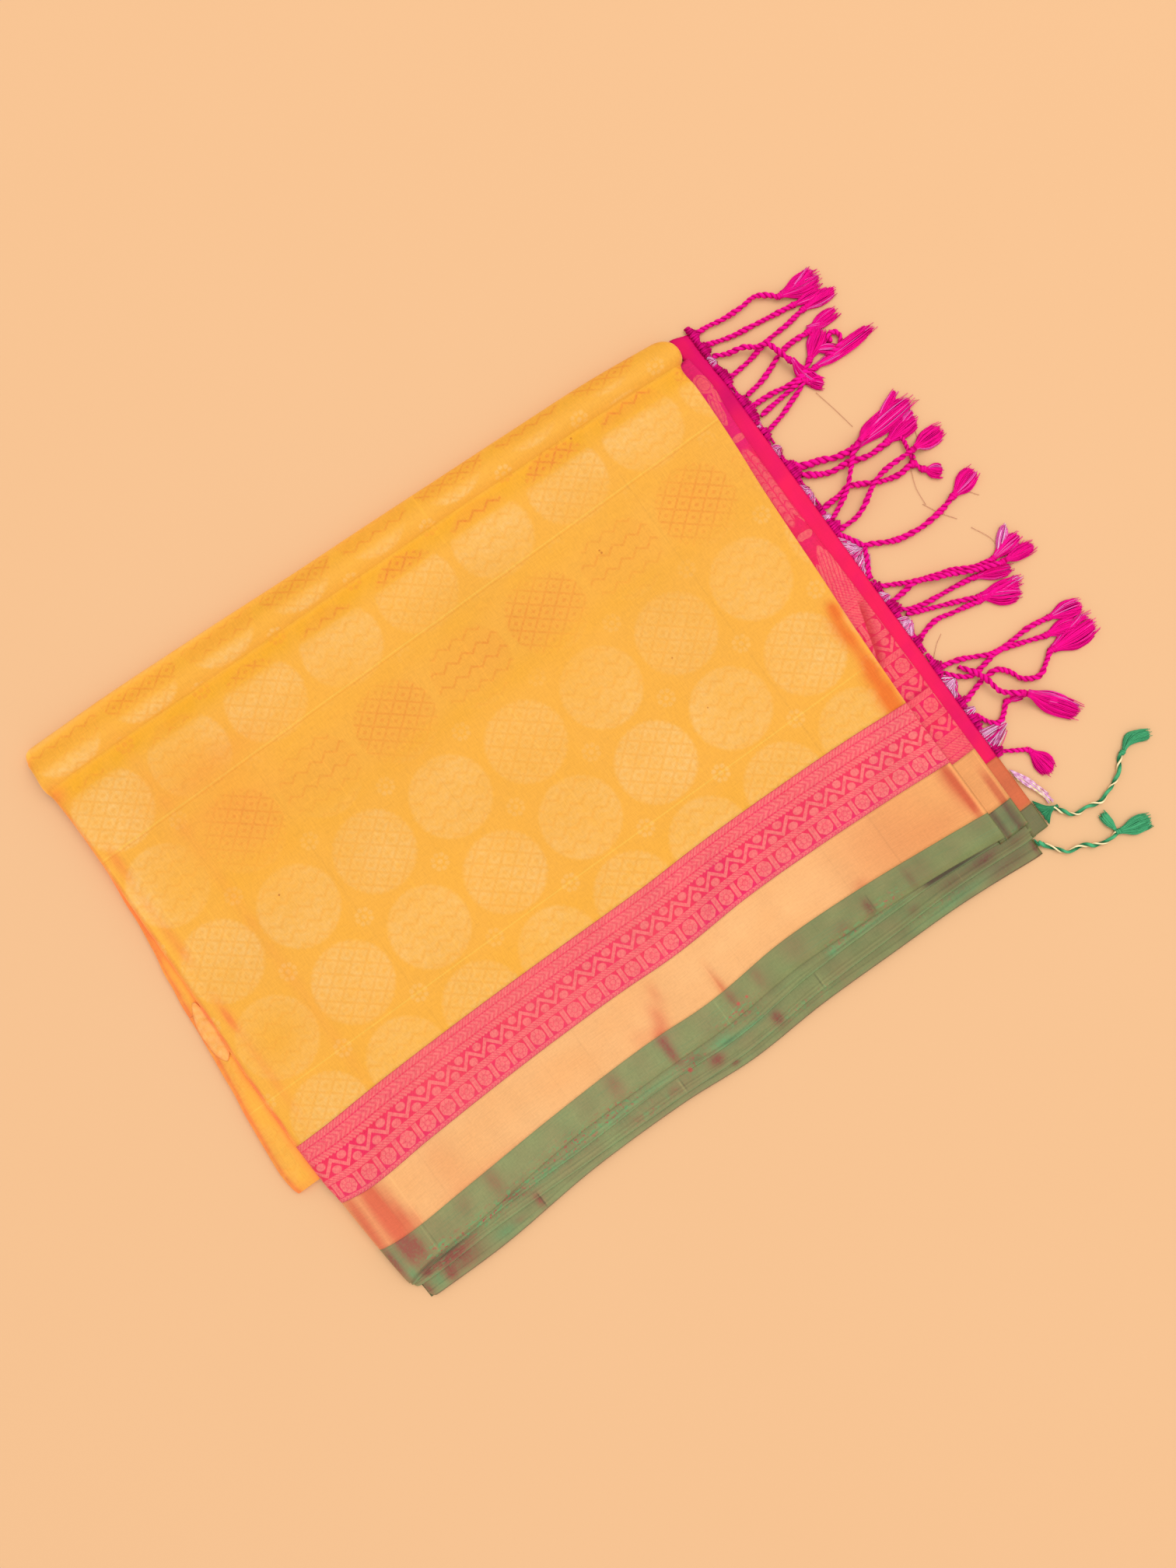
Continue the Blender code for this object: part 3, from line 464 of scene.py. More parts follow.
BODY_LIGHTS = table(
    PATCH,
    (-341, 120, 3, 90, 0.05), (333.6, -60, 1.4, 60, 0.16), (60, 226, 290, 12, 0.02),
    (60, 140, 260, 40, -0.02), (-120, -60, 160, 60, 0.015),
)
# Painted shade: the gold turns brown where it slopes from the light
GOLD_BROWNS = table(
    PATCH,
    (-344.5, -218, 6.8, 80, 0.95), (-330, -218, 6, 80, 0.95), (-321.5, -222, 5.5, 80, 0.95),
    (-313, -240, 5.5, 26, 0.6), (-312, -212, 5, 50, 0.3), (-304, -243, 4, 14, 0.45),
    (-255, -215, 16, 60, 0.12), (-28, -239, 8, 10, 0.75), (-20, -224, 7, 14, 0.55),
    (-10, -205, 5.5, 12, 0.35), (-45, -232, 9, 12, 0.22), (43, -237, 3.6, 12, 0.6), (43, -222, 3, 14, 0.25),
    (250, -218, 60, 60, 0.3), (300, -236, 34, 16, 0.16), (201, -238, 9, 8, 0.35), (-215, -246, 50, 8, 0.2),
    (327, -212, 4.6, 34, 0.9), (321.5, -206, 7, 26, 0.45), (327.5, -240, 3.4, 14, 0.5),
)
GOLD_LIGHTS = table(
    PATCH,
    (-351, -218, 2, 70, 0.06), (-120, -215, 70, 20, 0.02), (-288, -212, 26, 60, 0.04),
    (130, -212, 60, 14, 0.03), (60, -205, 30, 10, 0.02),
)
# The shot silk's red brown, painted where the green turns from the light, and small dark brown marks
BROWNS = table(
    PATCH,
    (-344, -262, 5, 24, 0.75), (-328, -262, 6, 19, 0.85), (-318, -262, 6, 19, 0.75),
    (-328, -250, 7, 8, 0.4), (-304, -288, 24, 5, 0.8), (-326, -288, 5, 4, 0.9), (-293, -294, 14, 6, 0.65),
    (-310, -302, 6, 8, 0.95), (-292, -303, 14, 6, 0.55), (-335, -302, 4, 8, 0.7), (-228, -258, 6, 14, 0.35),
    (-262, -258, 10, 12, 0.28), (-206, -296, 3, 8, 0.8), (-232, -300, 7, 3, 0.4), (-222, -278, 8, 5, 0.35),
    (-88, -252, 7, 14, 0.32), (-90, -290, 6, 4, 0.35), (-48, -288, 6, 5, 0.35),
    (-29.5, -256, 4.5, 15, 0.95), (-30, -243, 8, 5, 0.4), (-20, -273, 8, 4, 0.5), (1, -288, 7, 6, 0.85),
    (13, -301, 4, 3, 0.7), (68, -290, 4.5, 7, 0.9), (44, -250, 4, 12, 0.55), (75, -248, 5, 12, 0.35),
    (165, -257, 9, 8, 0.4), (195, -256, 4.5, 9, 0.75), (241, -258, 4.5, 14, 0.4), (228, -284, 7, 6, 0.45),
    (270, -284, 20, 6, 0.35), (308, -285, 18, 6, 0.75), (322, -302, 22, 8, 0.5), (345, -288, 12, 5, 0.4),
    (354, -305, 2.5, 8, 0.8), (339, -265, 3, 16, 0.5), (355, -266, 3.5, 16, 0.7),
)
# Painted teal highlights of the shot silk along its creases
TEALS = table(
    PATCH,
    (-339, -262, 2.6, 14, 0.3), (-336, -281, 2.8, 7, 0.55), (-322, -301, 4, 7, 0.4),
    (-247, -301, 14, 6, 0.45), (-180, -279, 28, 4, 0.4), (-110, -276, 22, 4, 0.3), (-60, -274, 40, 3, 0.35),
    (14, -277, 11, 5, 0.6), (38, -281, 26, 3, 0.5), (145, -270, 6, 4, 0.55), (185, -271, 34, 2.5, 0.4),
    (270, -300, 42, 4, 0.35),
)
GREEN_LIGHTS = table(
    PATCH,
    (-302, -284, 28, 2.4, -0.5), (-29.5, -254, 4, 14, -0.1), (1, -288, 6, 5, -0.1), (68, -290, 4, 6, -0.1),
    (13, -301, 4, 3, -0.12), (-326, -288, 5, 4, -0.16), (-302, -292, 16, 5, -0.14),
    (-222, -278, 8, 5, -0.16), (-13, -276, 7, 3, -0.26), (20, -281, 6, 2.5, -0.24),
    (175, -266, 14, 1.8, -0.22), (225, -255, 16, 10, -0.05), (300, -285, 44, 8, -0.14),
    (-60, -297, 70, 2.5, -0.08),
)

# Where ends of red and bright green thread show in the folded edges
FLECKS = table(
    PATCH,
    (-305, -276, 20, 7, 0.9), (-262, -280, 36, 7, 1), (-215, -276, 26, 7, 0.9), (-150, -272, 40, 9, 1),
    (-95, -270, 26, 8, 0.8), (-20, -276, 18, 8, 0.9), (40, -265, 20, 8, 0.9), (58, -276, 10, 4, 0.7),
    (165, -265, 24, 6, 0.8), (214, -262, 14, 6, 1), (90, -295, 40, 6, 0.5), (250, -294, 30, 5, 0.4),
    (-75, -290, 30, 5, 0.5), (-310, -292, 22, 7, 0.6),
)

# Fine lines across the cloth, where it was folded before: painted light and shade, lighter or darker than the
# rest
YELLOW_CREASES = table(
    CREASE,
    (-130, 0.8, -120, 150, 0.05), (36, 0.8, -120, 170, 0.05), (77, 1.2, 240, 320, 0.07),
    (-325, 0.7, 60, 190, 0.06), (-294, 0.7, 60, 200, 0.06), (-343, 0.8, 60, 200, 0.05),
    (243.5, 0.8, -120, 200, -0.06), (-53, 0.5, 20, 90, -0.07), (-184, 0.8, -120, 180, -0.04),
    (-270, 0.9, -120, 250, -0.03),
)
GOLD_CREASES = table(
    CREASE,
    (-337, 1, -260, -180, 0.05), (-318, 0.7, -260, -196, -0.06), (-301.5, 0.7, -260, -180, 0.08),
    (-268, 0.7, -260, -180, -0.05), (-230, 0.6, -260, -180, -0.03), (-130, 0.6, -260, -180, -0.04),
    (-91, 0.6, -260, -180, -0.05), (40.5, 0.6, -250, -210, 0.08), (70, 0.6, -260, -180, -0.04),
    (190.5, 0.6, -260, -180, -0.05), (243, 0.8, -260, -180, -0.08), (331.6, 1, -260, -180, 0.16),
    (334.8, 1, -260, -180, -0.14), (336.8, 0.7, -260, -180, 0.1), (358.6, 0.6, -260, -180, 0.12),
)
GREEN_CREASES = table(
    CREASE,
    (-305.2, 0.7, -276, -246, 0.16), (-302.6, 0.6, -276, -246, -0.14), (-134, 0.5, -266, -238, 0.06),
    (-204, 0.7, -304, -289, -0.4), (-202.4, 0.6, -304, -289, 0.1), (-39.5, 0.8, -295, -282, 0.26),
    (-37.6, 0.7, -295, -282, -0.22), (29.8, 0.6, -268, -243, 0.16), (39, 0.5, -266, -252, 0.12),
    (119, 0.7, -292, -277, -0.34), (120.8, 0.6, -292, -277, 0.16), (198.6, 0.6, -262, -246, -0.24),
    (280.6, 0.6, -290, -278, 0.16), (335.2, 0.6, -284, -246, -0.26), (336.6, 0.6, -284, -246, 0.16),
    (360.4, 0.6, -284, -246, 0.14),
)

# Small dark marks on the yellow cloth, and ends of red thread on the green edge
MARKS = table(
    MARK,
    (187.4, 153, 0.9), (187.8, 150.2, 1.1), (183.5, 34, 0.8), (183, -22, 0.7), (-233.5, 69, 1),
    (227, 252, 1.1),
)
RED_ENDS = table(
    MARK,
    (-24.7, -280.8, 2.2), (46.5, -257.5, 1.6), (56.5, -256.5, 1.2),
)

# Leaf shapes of the panel: middle, half sizes, lean, and how deep their groove is
LEAVES = table(
    "x y half_x half_y lean groove",
    (357, 223, 8.5, 11, 0, 1), (353, 195, 5.2, 17, 0.1, 1), (361, 207, 3, 8, 0, 0),
    (354, 163, 8, 3.4, 0, 0), (348, 109, 10.5, 42, 0.05, 0.6), (357, 92, 3.5, 28, 0, 0),
    (350, 54, 8.5, 4, 0, 0), (350, 12, 7, 27, 0.14, 0.6), (341, 6, 5, 20, 0.1, 0),
    (357, 10, 3, 22, 0.04, 0),
)


# Numbers


def mix(a, b, share):
    return a + (b - a) * share


def ease(low, high, at):
    """0 at low, 1 at high, and smooth between, also where high is the lower one."""
    share = np.clip((at - low) / (high - low), 0.0, 1.0)
    return share * share * (3 - 2 * share)


def bump_at(at, middle, half):
    """1 in the middle, falling softly to nothing a few half widths away."""
    return np.exp(-(((at - middle) / half) ** 2))


def stacked(*parts):
    return np.stack(np.broadcast_arrays(*parts), -1)


def unit(vectors):
    return vectors / np.maximum(np.linalg.norm(vectors, axis=-1, keepdims=True), 1e-9)


def stops(start, end, count):
    return list(np.linspace(start, end, count + 1))


def read(rows, column, at):
    """A smooth curve through one column of a table, over its first column."""
    keys = np.array([row[0] for row in rows], float)
    values = np.array([getattr(row, column) for row in rows], float)
    slopes = np.empty_like(values)
    slopes[1:-1] = (values[2:] - values[:-2]) / (keys[2:] - keys[:-2])
    slopes[0] = (values[1] - values[0]) / (keys[1] - keys[0])
    slopes[-1] = (values[-1] - values[-2]) / (keys[-1] - keys[-2])
    at = np.clip(at, keys[0], keys[-1])
    i = np.clip(np.searchsorted(keys, at, side="right") - 1, 0, len(keys) - 2)
    span = keys[i + 1] - keys[i]
    t = (at - keys[i]) / span
    return (
        values[i] * (1 + 2 * t) * (1 - t) ** 2
        + values[i + 1] * t * t * (3 - 2 * t)
        + span * slopes[i] * t * (1 - t) ** 2
        - span * slopes[i + 1] * t * t * (1 - t)
    )


def line(name, x):
    return read(LINES, name, x)


def left_end(y):
    return read(SIDES, "left", y)


def ripple(x, y, size, seed):
    """A soft uneven surface of that wavelength, from -1 to 1 or so."""
    rng = random.Random(seed)
    total = np.zeros(np.broadcast(x, y).shape)
    for _ in range(RIPPLE_WAVES):
        turn = rng.uniform(0, math.pi)
        length = size * rng.uniform(0.6, 1.7)
        phase = rng.uniform(0, 2 * math.pi)
        along = x * math.cos(turn) + y * math.sin(turn)
        total = total + np.sin(along * 2 * math.pi / length + phase)
    return total / 4.0


def patches(rows, x, y, start=0.0):
    """The sum of soft patches at each place."""
    total = start + 0.0 * (x + y)
    for row in rows:
        away = ((x - row.x) / row.half_x) ** 2 + ((y - row.y) / row.half_y) ** 2
        total = total + row.strength * np.exp(-away)
    return total


# The top layer, on the same lines as its solid


def sheet_height(x, y):
    level = read(RISES, "z", y) + 0.4 * np.sin(x / 61 + y / 140) + 0.3 * np.sin(x / 37 - y / 90)
    return level - patches(TROUGHS, x, y)


def crease_height(x, y):
    """What the finer creases and the uneven hand of the cloth add to the top layer."""
    return 0.1 * ripple(x, y, 34, 3) + 0.22 * ripple(x, y * 0.6, 90, 4) - patches(CREASES, x, y)


SHEET_LINES = ("valley", "zari", "gold", "green", "edge")


def sheet_across(v, x):
    """Y and Z down the top layer: v is 0 at the roll's foot, 1 in the valley, 5 at the edge."""
    outer = line("roll", x)
    valley = line("valley", x)
    foot_share = np.clip(v / ROLL_FOOT_SHARE, 0, 1)
    foot_y = outer - ROLL_FOOT_INSET * (1 - foot_share) ** 2
    foot_z = mix(ROLL_FOOT_LEVEL, ROLL_SIDE_LEVEL, foot_share)
    turn = math.pi * np.clip((1 - v) / (1 - ROLL_FOOT_SHARE), 0, 1)
    share = (1 - np.cos(turn)) / 2
    softness = mix(ROLL_SOFTNESS, 1.0, ease(0.0, math.pi / 2, turn))
    roll_z = mix(sheet_height(x, valley), ROLL_SIDE_LEVEL, share) + ROLL_RISE * np.sin(turn) ** softness
    flat_y = valley
    for k, (upper, lower) in enumerate(zip(SHEET_LINES, SHEET_LINES[1:])):
        flat_y = np.where(v >= 1 + k, mix(line(upper, x), line(lower, x), v - 1 - k), flat_y)
    flat_z = sheet_height(x, flat_y) - EDGE_DROP * ease(4.8, 5.0, v)
    y = np.where(v < ROLL_FOOT_SHARE, foot_y, np.where(v < 1, mix(valley, outer, share), flat_y))
    z = np.where(v < ROLL_FOOT_SHARE, foot_z, np.where(v < 1, roll_z, flat_z))
    return y, z


def left_level(y):
    """How low the left end of the top layer comes: onto the folded stretches, or the floor."""
    share = ease(LEFT_FOLDS_END - 8, LEFT_FOLDS_END - 30, y)
    level = mix(LEFT_LEVEL_ON_FOLDS, LEFT_LEVEL_ON_FLOOR, share)
    return mix(level, ROLL_FOOT_LEVEL, ease(LEFT_FOLDS_TOP + 1, LEFT_FOLDS_TOP + 5, y))


def roll_end_level(y):
    """How low the right end of the roll comes: onto the loose end, its hem, then the floor."""
    level = mix(ROLL_END_LEVEL, ROLL_END_ON_HEM, ease(PALLU_TOP + 1, PALLU_TOP + 6, y))
    return mix(level, ROLL_FOOT_LEVEL, ease(HEM_TOP + 1, HEM_TOP + 5, y))


def sheet_columns(count):
    """Shares along, and the turns round the left and right ends, of a grid's columns."""
    share = np.concatenate([np.zeros(END_COLUMNS), np.linspace(0, 1, count), np.ones(END_COLUMNS)])
    turn = np.linspace(0, math.pi / 2, END_COLUMNS + 1)
    level = np.full(count + END_COLUMNS, math.pi / 2)
    left = np.concatenate([turn[:-1], level])
    right = np.concatenate([level, turn[-2::-1]])
    return share[None, :], left[None, :], right[None, :]


def sheet_grid(rows):
    """Points of the top layer, a row for each v, and each point's place on the weave."""
    v = np.array(rows)[:, None]
    share, left_turn, right_turn = sheet_columns(SHEET_COLUMNS)
    mid_y, _ = sheet_across(v, np.zeros((1, 1)))
    at_roll = ease(ROLL_END_FROM, ROLL_END_TO, mid_y)
    right_round = mix(RIGHT_ROUND, ROLL_END_ROUND, at_roll)
    x = mix(left_end(mid_y) + LEFT_ROUND, read(SIDES, "right", mid_y) - right_round, share)
    x = x - LEFT_ROUND * np.cos(left_turn) + right_round * np.cos(right_turn)
    y, z = sheet_across(v, x)
    left_drop = np.maximum(z - left_level(y), 0.0)
    right_drop = mix(RIGHT_DROP, np.maximum(z - roll_end_level(y), 0.0), at_roll)
    flat = np.sin(left_turn) * np.sin(right_turn) * ease(0.95, 1.08, v) * ease(5.0, 4.8, v)
    z = z + flat * crease_height(x, y)
    z = z - left_drop * (1 - np.sin(left_turn)) - right_drop * (1 - np.sin(right_turn))
    points = stacked(x, y, z)
    steps = np.linalg.norm(np.diff(points[:, :, 1:], axis=0), axis=2)
    across = np.concatenate([np.zeros((1, points.shape[1])), np.cumsum(steps, 0)])
    valley_row = rows.index(1.0)
    weave_y = points[valley_row, :, 1] + across[valley_row] - across
    steps = np.linalg.norm(np.diff(points[:, :, ::2], axis=1), axis=2)
    along = np.concatenate([np.zeros((points.shape[0], 1)), np.cumsum(steps, 1)], 1)
    middle = points.shape[1] // 2
    weave_x = points[:, middle : middle + 1, 0] + along - along[:, middle : middle + 1]
    return points, weave_x, weave_y


def lower_height(layer, x, y):
    """The height of a layer under the top one, the second layer being 1."""
    extra = PALLU_EXTRA_DROP * ease(PALLU_DROP_FROM, PALLU_START, x)
    extra = extra + END_EXTRA_DROP * ease(END_DROP_FROM, END_DROP_TO, x)
    return sheet_height(x, y) - layer * LAYER_DROP - extra


# Meshes


def add_object(name, data):
    made = bpy.data.objects.new(name, data)
    bpy.context.scene.collection.objects.link(made)
    return made


def add_mesh(name, points, faces, materials, node, tones, weave=None, paints=None, sharp=None):
    """A smooth mesh in metres on the part's one body, with its tones and its cloth map."""
    mesh = bpy.data.meshes.new(name)
    mesh.from_pydata((points * MM).tolist(), [], faces)
    for tone, values in tones.items():
        layer = mesh.attributes.new(tone, "FLOAT", "POINT")
        layer.data.foreach_set("value", np.asarray(values, np.float32).ravel())
    if weave is not None:
        layer = mesh.uv_layers.new(name="cloth")
        corner = np.empty(len(mesh.loops), np.int32)
        mesh.loops.foreach_get("vertex_index", corner)
        places = np.asarray(weave, np.float32).reshape(-1, 2)[corner] * MM
        layer.data.foreach_set("uv", places.ravel())
    for material in materials:
        mesh.materials.append(material)
    if paints is not None:
        mesh.polygons.foreach_set("material_index", np.array(paints, np.int32))
    mesh.shade_smooth()
    if sharp is not None:
        mesh.set_sharp_from_angle(angle=math.radians(sharp))
    made = add_object(name, mesh)
    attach(made, "root")
    if node:
        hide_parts(node)
    return made


def grid_faces(tall, wide, start=0, turned=False):
    """The quads of a grid of points, seen from above, or from below where turned."""
    index = np.arange(tall * wide).reshape(tall, wide) + start
    corners = [index[:-1, :-1], index[1:, :-1], index[1:, 1:], index[:-1, 1:]]
    if turned:
        corners = [corners[0], corners[3], corners[2], corners[1]]
    return np.stack([corner.ravel() for corner in corners], 1)


def tube_faces(tall, wide, start=0):
    """The quads of a tube of rings of points, and its two ends."""
    index = np.arange(tall * wide).reshape(tall, wide) + start
    around = np.roll(index, -1, axis=1)
    quads = np.stack([index[:-1], around[:-1], around[1:], index[1:]], -1).reshape(-1, 4)
    return [*quads.tolist(), index[0][::-1].tolist(), index[-1].tolist()]


def grid_normals(points):
    return unit(np.cross(np.gradient(points, axis=0), np.gradient(points, axis=1)))


def shell(name, grid, weave, look, node, tones, normals=None, thickness=SHELL_THICKNESS):
    """A thin closed shell of cloth whose face is the grid, with its flat cut."""
    normals = grid_normals(grid) if normals is None else normals
    tall, wide = grid.shape[:2]
    under = tall * wide
    points = np.concatenate([grid.reshape(-1, 3), (grid - normals * thickness).reshape(-1, 3)])
    points[:, 2] = np.maximum(points[:, 2], ABOVE_FLOOR)
    index = np.arange(under).reshape(tall, wide)
    rim = np.concatenate([index[0], index[1:, -1], index[-1, -2::-1], index[-2:0:-1, 0]])
    after = np.roll(rim, -1)
    sides = np.stack([rim, after, after + under, rim + under], 1)
    faces = np.concatenate([grid_faces(tall, wide), grid_faces(tall, wide, under, True), sides])
    doubled = {}
    for tone, values in tones.items():
        doubled[tone] = np.tile(np.broadcast_to(values, (tall, wide)).ravel(), 2)
    weave = np.tile(stacked(*weave).reshape(-1, 2), (2, 1))
    made = add_mesh(name, points, faces.tolist(), [look.material], node, doubled, weave)


# Materials


def colour(red, green, blue, kept=ALBEDO_SHARE):
    """A screen colour of 0 to 255 as the linear one that a shader takes."""
    made = []
    for value in (red, green, blue):
        share = value / 255
        made.append(share / 12.92 if share <= 0.04045 else ((share + 0.055) / 1.055) ** 2.4)
    return (*(value * kept for value in made), 1.0)


class Wire:
    """A number in a material, different from place to place. Sums of wires make nodes."""

    def __init__(self, socket):
        self.socket = socket
        self.tree = socket.id_data

    def __add__(self, other):
        return maths("ADD", self, other)

    def __sub__(self, other):
        return maths("SUBTRACT", self, other)

    def __rsub__(self, other):
        return maths("SUBTRACT", other, self)

    def __mul__(self, other):
        return maths("MULTIPLY", self, other)

    def __truediv__(self, other):
        return maths("DIVIDE", self, other)

    def __abs__(self):
        return maths("ABSOLUTE", self)

    __radd__ = __add__
    __rmul__ = __mul__


def plug(socket, value):
    if isinstance(value, Wire):
        value = value.socket
    if isinstance(value, bpy.types.NodeSocket):
        socket.id_data.links.new(value, socket)
    else:
        socket.default_value = value


def add_node(tree, kind, inputs=(), **settings):
    """A node with those settings, its inputs filled from pairs of a name and a value."""
    made = tree.nodes.new(kind)
    for name, value in settings.items():
        setattr(made, name, value)
    for name, value in inputs:
        plug(made.inputs[name], value)
    return made


def maths(operation, *values):
    tree = next(value.tree for value in values if isinstance(value, Wire))
    return Wire(add_node(tree, "ShaderNodeMath", enumerate(values), operation=operation).outputs[0])


def cell(value, origin, size):
    """Distance from the middle of the repeat that a place is in."""
    return maths("WRAP", value - origin, size / 2, -size / 2)


def inside(value, edge, soft):
    """1 where the value is below the edge, softly."""
    ends = (("From Min", edge - soft), ("From Max", edge + soft), ("To Min", 1.0), ("To Max", 0.0))
    inputs = (("Value", value), *ends)
    made = add_node(value.tree, "ShaderNodeMapRange", inputs, interpolation_type="SMOOTHSTEP")
    return Wire(made.outputs["Result"])


def above(value, edge, soft):
    """1 where the value is above the edge, softly."""
    return 1 - inside(value, edge, soft)


def between(value, low, high, soft=0.25):
    """1 where the value is from low to high."""
    return inside(value, high, soft) * above(value, low, soft)


def most(*values):
    found = values[0]
    for value in values[1:]:
        found = maths("MAXIMUM", found, value)
    return found


def reach_of(x, y):
    """How far a place is from where both are 0."""
    return maths("SQRT", x * x + y * y)


def zigzag(value, half):
    """From 0 up to the half and back, again and again."""
    return maths("PINGPONG", value, half)


def noise(x, y, size_x, size_y, offset=0.0, detail=2.0):
    """Uneven values from 0 to 1 with that grain along and across the weave."""
    place = ((0, x * (1 / size_x) + offset), (1, y * (1 / size_y)))
    place = add_node(x.tree, "ShaderNodeCombineXYZ", place).outputs[0]
    inputs = (("Vector", place), ("Scale", 1.0), ("Detail", detail))
    return Wire(add_node(x.tree, "ShaderNodeTexNoise", inputs, noise_dimensions="2D").outputs["Fac"])


def blend(share, first, second):
    """A colour part of the way from the first to the second."""
    inputs = (("Factor", share), (6, first), (7, second))
    return add_node(share.tree, "ShaderNodeMix", inputs, data_type="RGBA").outputs[2]


class Paint:
    """A material under way."""

    def __init__(self, name, roughness=0.5, metallic=0.0, sheen=0.0, specular=0.3, sheen_tint=None):
        self.material = bpy.data.materials.new(name)
        self.material.use_nodes = True
        self.tree = self.material.node_tree
        self.shader = self.tree.nodes["Principled BSDF"]
        self.shader.inputs["Roughness"].default_value = roughness
        self.shader.inputs["Metallic"].default_value = metallic
        self.shader.inputs["Sheen Weight"].default_value = sheen
        self.shader.inputs["Sheen Roughness"].default_value = 0.4
        self.shader.inputs["Specular IOR Level"].default_value = specular
        if sheen_tint:
            self.shader.inputs["Sheen Tint"].default_value = sheen_tint

    def sides(self, place):
        """The first two sides of a place, in millimetres."""
        parts = add_node(self.tree, "ShaderNodeSeparateXYZ", ((0, place),)).outputs
        return Wire(parts[0]) * 1000, Wire(parts[1]) * 1000

    def place(self):
        """Along and across the weave."""
        return self.sides(add_node(self.tree, "ShaderNodeUVMap", uv_map="cloth").outputs[0])

    def spot(self):
        """Along X and Y of the part."""
        return self.sides(add_node(self.tree, "ShaderNodeTexCoord").outputs["Object"])

    def tone(self, name):
        return Wire(add_node(self.tree, "ShaderNodeAttribute", attribute_name=name).outputs["Fac"])

    def grain(self, scale):
        """Uneven values from 0 to 1, the same in all directions."""
        place = add_node(self.tree, "ShaderNodeTexCoord").outputs["Object"]
        inputs = (("Vector", place), ("Scale", scale))
        return Wire(add_node(self.tree, "ShaderNodeTexNoise", inputs).outputs["Fac"])

    def finish(self, base, height=None, strength=0.3, depth=0.0002, share=None):
        """The material in that colour, times the share, with the height as fine relief."""
        if share is not None:
            inputs = ((0, base), ("Scale", share))
            base = add_node(self.tree, "ShaderNodeVectorMath", inputs, operation="SCALE").outputs[0]
        plug(self.shader.inputs["Base Color"], base)
        if height is not None:
            inputs = (("Strength", strength), ("Distance", depth), ("Height", height))
            plug(self.shader.inputs["Normal"], add_node(self.tree, "ShaderNodeBump", inputs).outputs[0])
        return self.material


def threads(x, y, pitch_x, pitch_y):
    """Height of a plain weave, and the slub of uneven threads both ways."""
    warp = zigzag(x, pitch_x / 2) * (2 / pitch_x)
    weft = zigzag(y, pitch_y / 2) * (2 / pitch_y)
    slub = noise(x, y, 14.0, 0.8) + noise(x, y, 0.9, 12.0, offset=7.0)
    return warp * 0.5 + weft * 0.5, slub - 1.0


def crease_lines(rows, x, y):
    """Painted light and shade in fine lines across the cloth, each over its own stretch."""
    total = 0.0
    for row in rows:
        shown = inside(abs(x - row.x), row.half, row.half * 0.9)
        total = total + shown * between(y, row.low, row.high, 4.0) * row.shade
    return total


def dotted(base, rows, x, y, soft, strength, dot):
    """A colour with small round marks on it."""
    for row in rows:
        away = reach_of(x - row.x, y - row.y)
        base = blend(inside(away, row.half, soft) * strength, base, dot)
    return base


def circle_fill(along, across, odd):
    """The dark and the light lines that fill a circle: a net of lozenges, or zigzags."""
    slant_a = cell(along / NET_LONG + across / NET_WIDE, 0, 2.0)
    slant_b = cell(along / NET_LONG - across / NET_WIDE, 0, 2.0)
    square = most(abs(slant_a), abs(slant_b))
    net_dark = most(above(square, 0.84, 0.08), inside(square, 0.26, 0.1))
    net_light = between(square, 0.46, 0.76, 0.08)
    zig = abs(cell(across + zigzag(along, ZIGZAG_HALF) * ZIGZAG_SLOPE, 0, ZIGZAG_REPEAT))
    return mix(net_dark, inside(zig, 1.3, 0.8), odd), mix(net_light, between(zig, 3.2, 5.8, 0.9), odd)


def rosettes(x, y, fray):
    """A dot with eight more round it, at the corners between the circles."""
    across = cell(x, FIRST_CIRCLE[0] + PITCH / 2, PITCH)
    down = cell(y, FIRST_CIRCLE[1] + PITCH / 2, PITCH)
    reach = reach_of(across, down) + fray * 0.8
    turn = cell(maths("ARCTAN2", down, across), 0, math.pi / 4) * 6.8
    petal = reach_of(reach - ROSETTE_RADIUS, turn)
    return most(inside(petal, 2.2, 1.0), inside(reach, 2.4, 0.8))


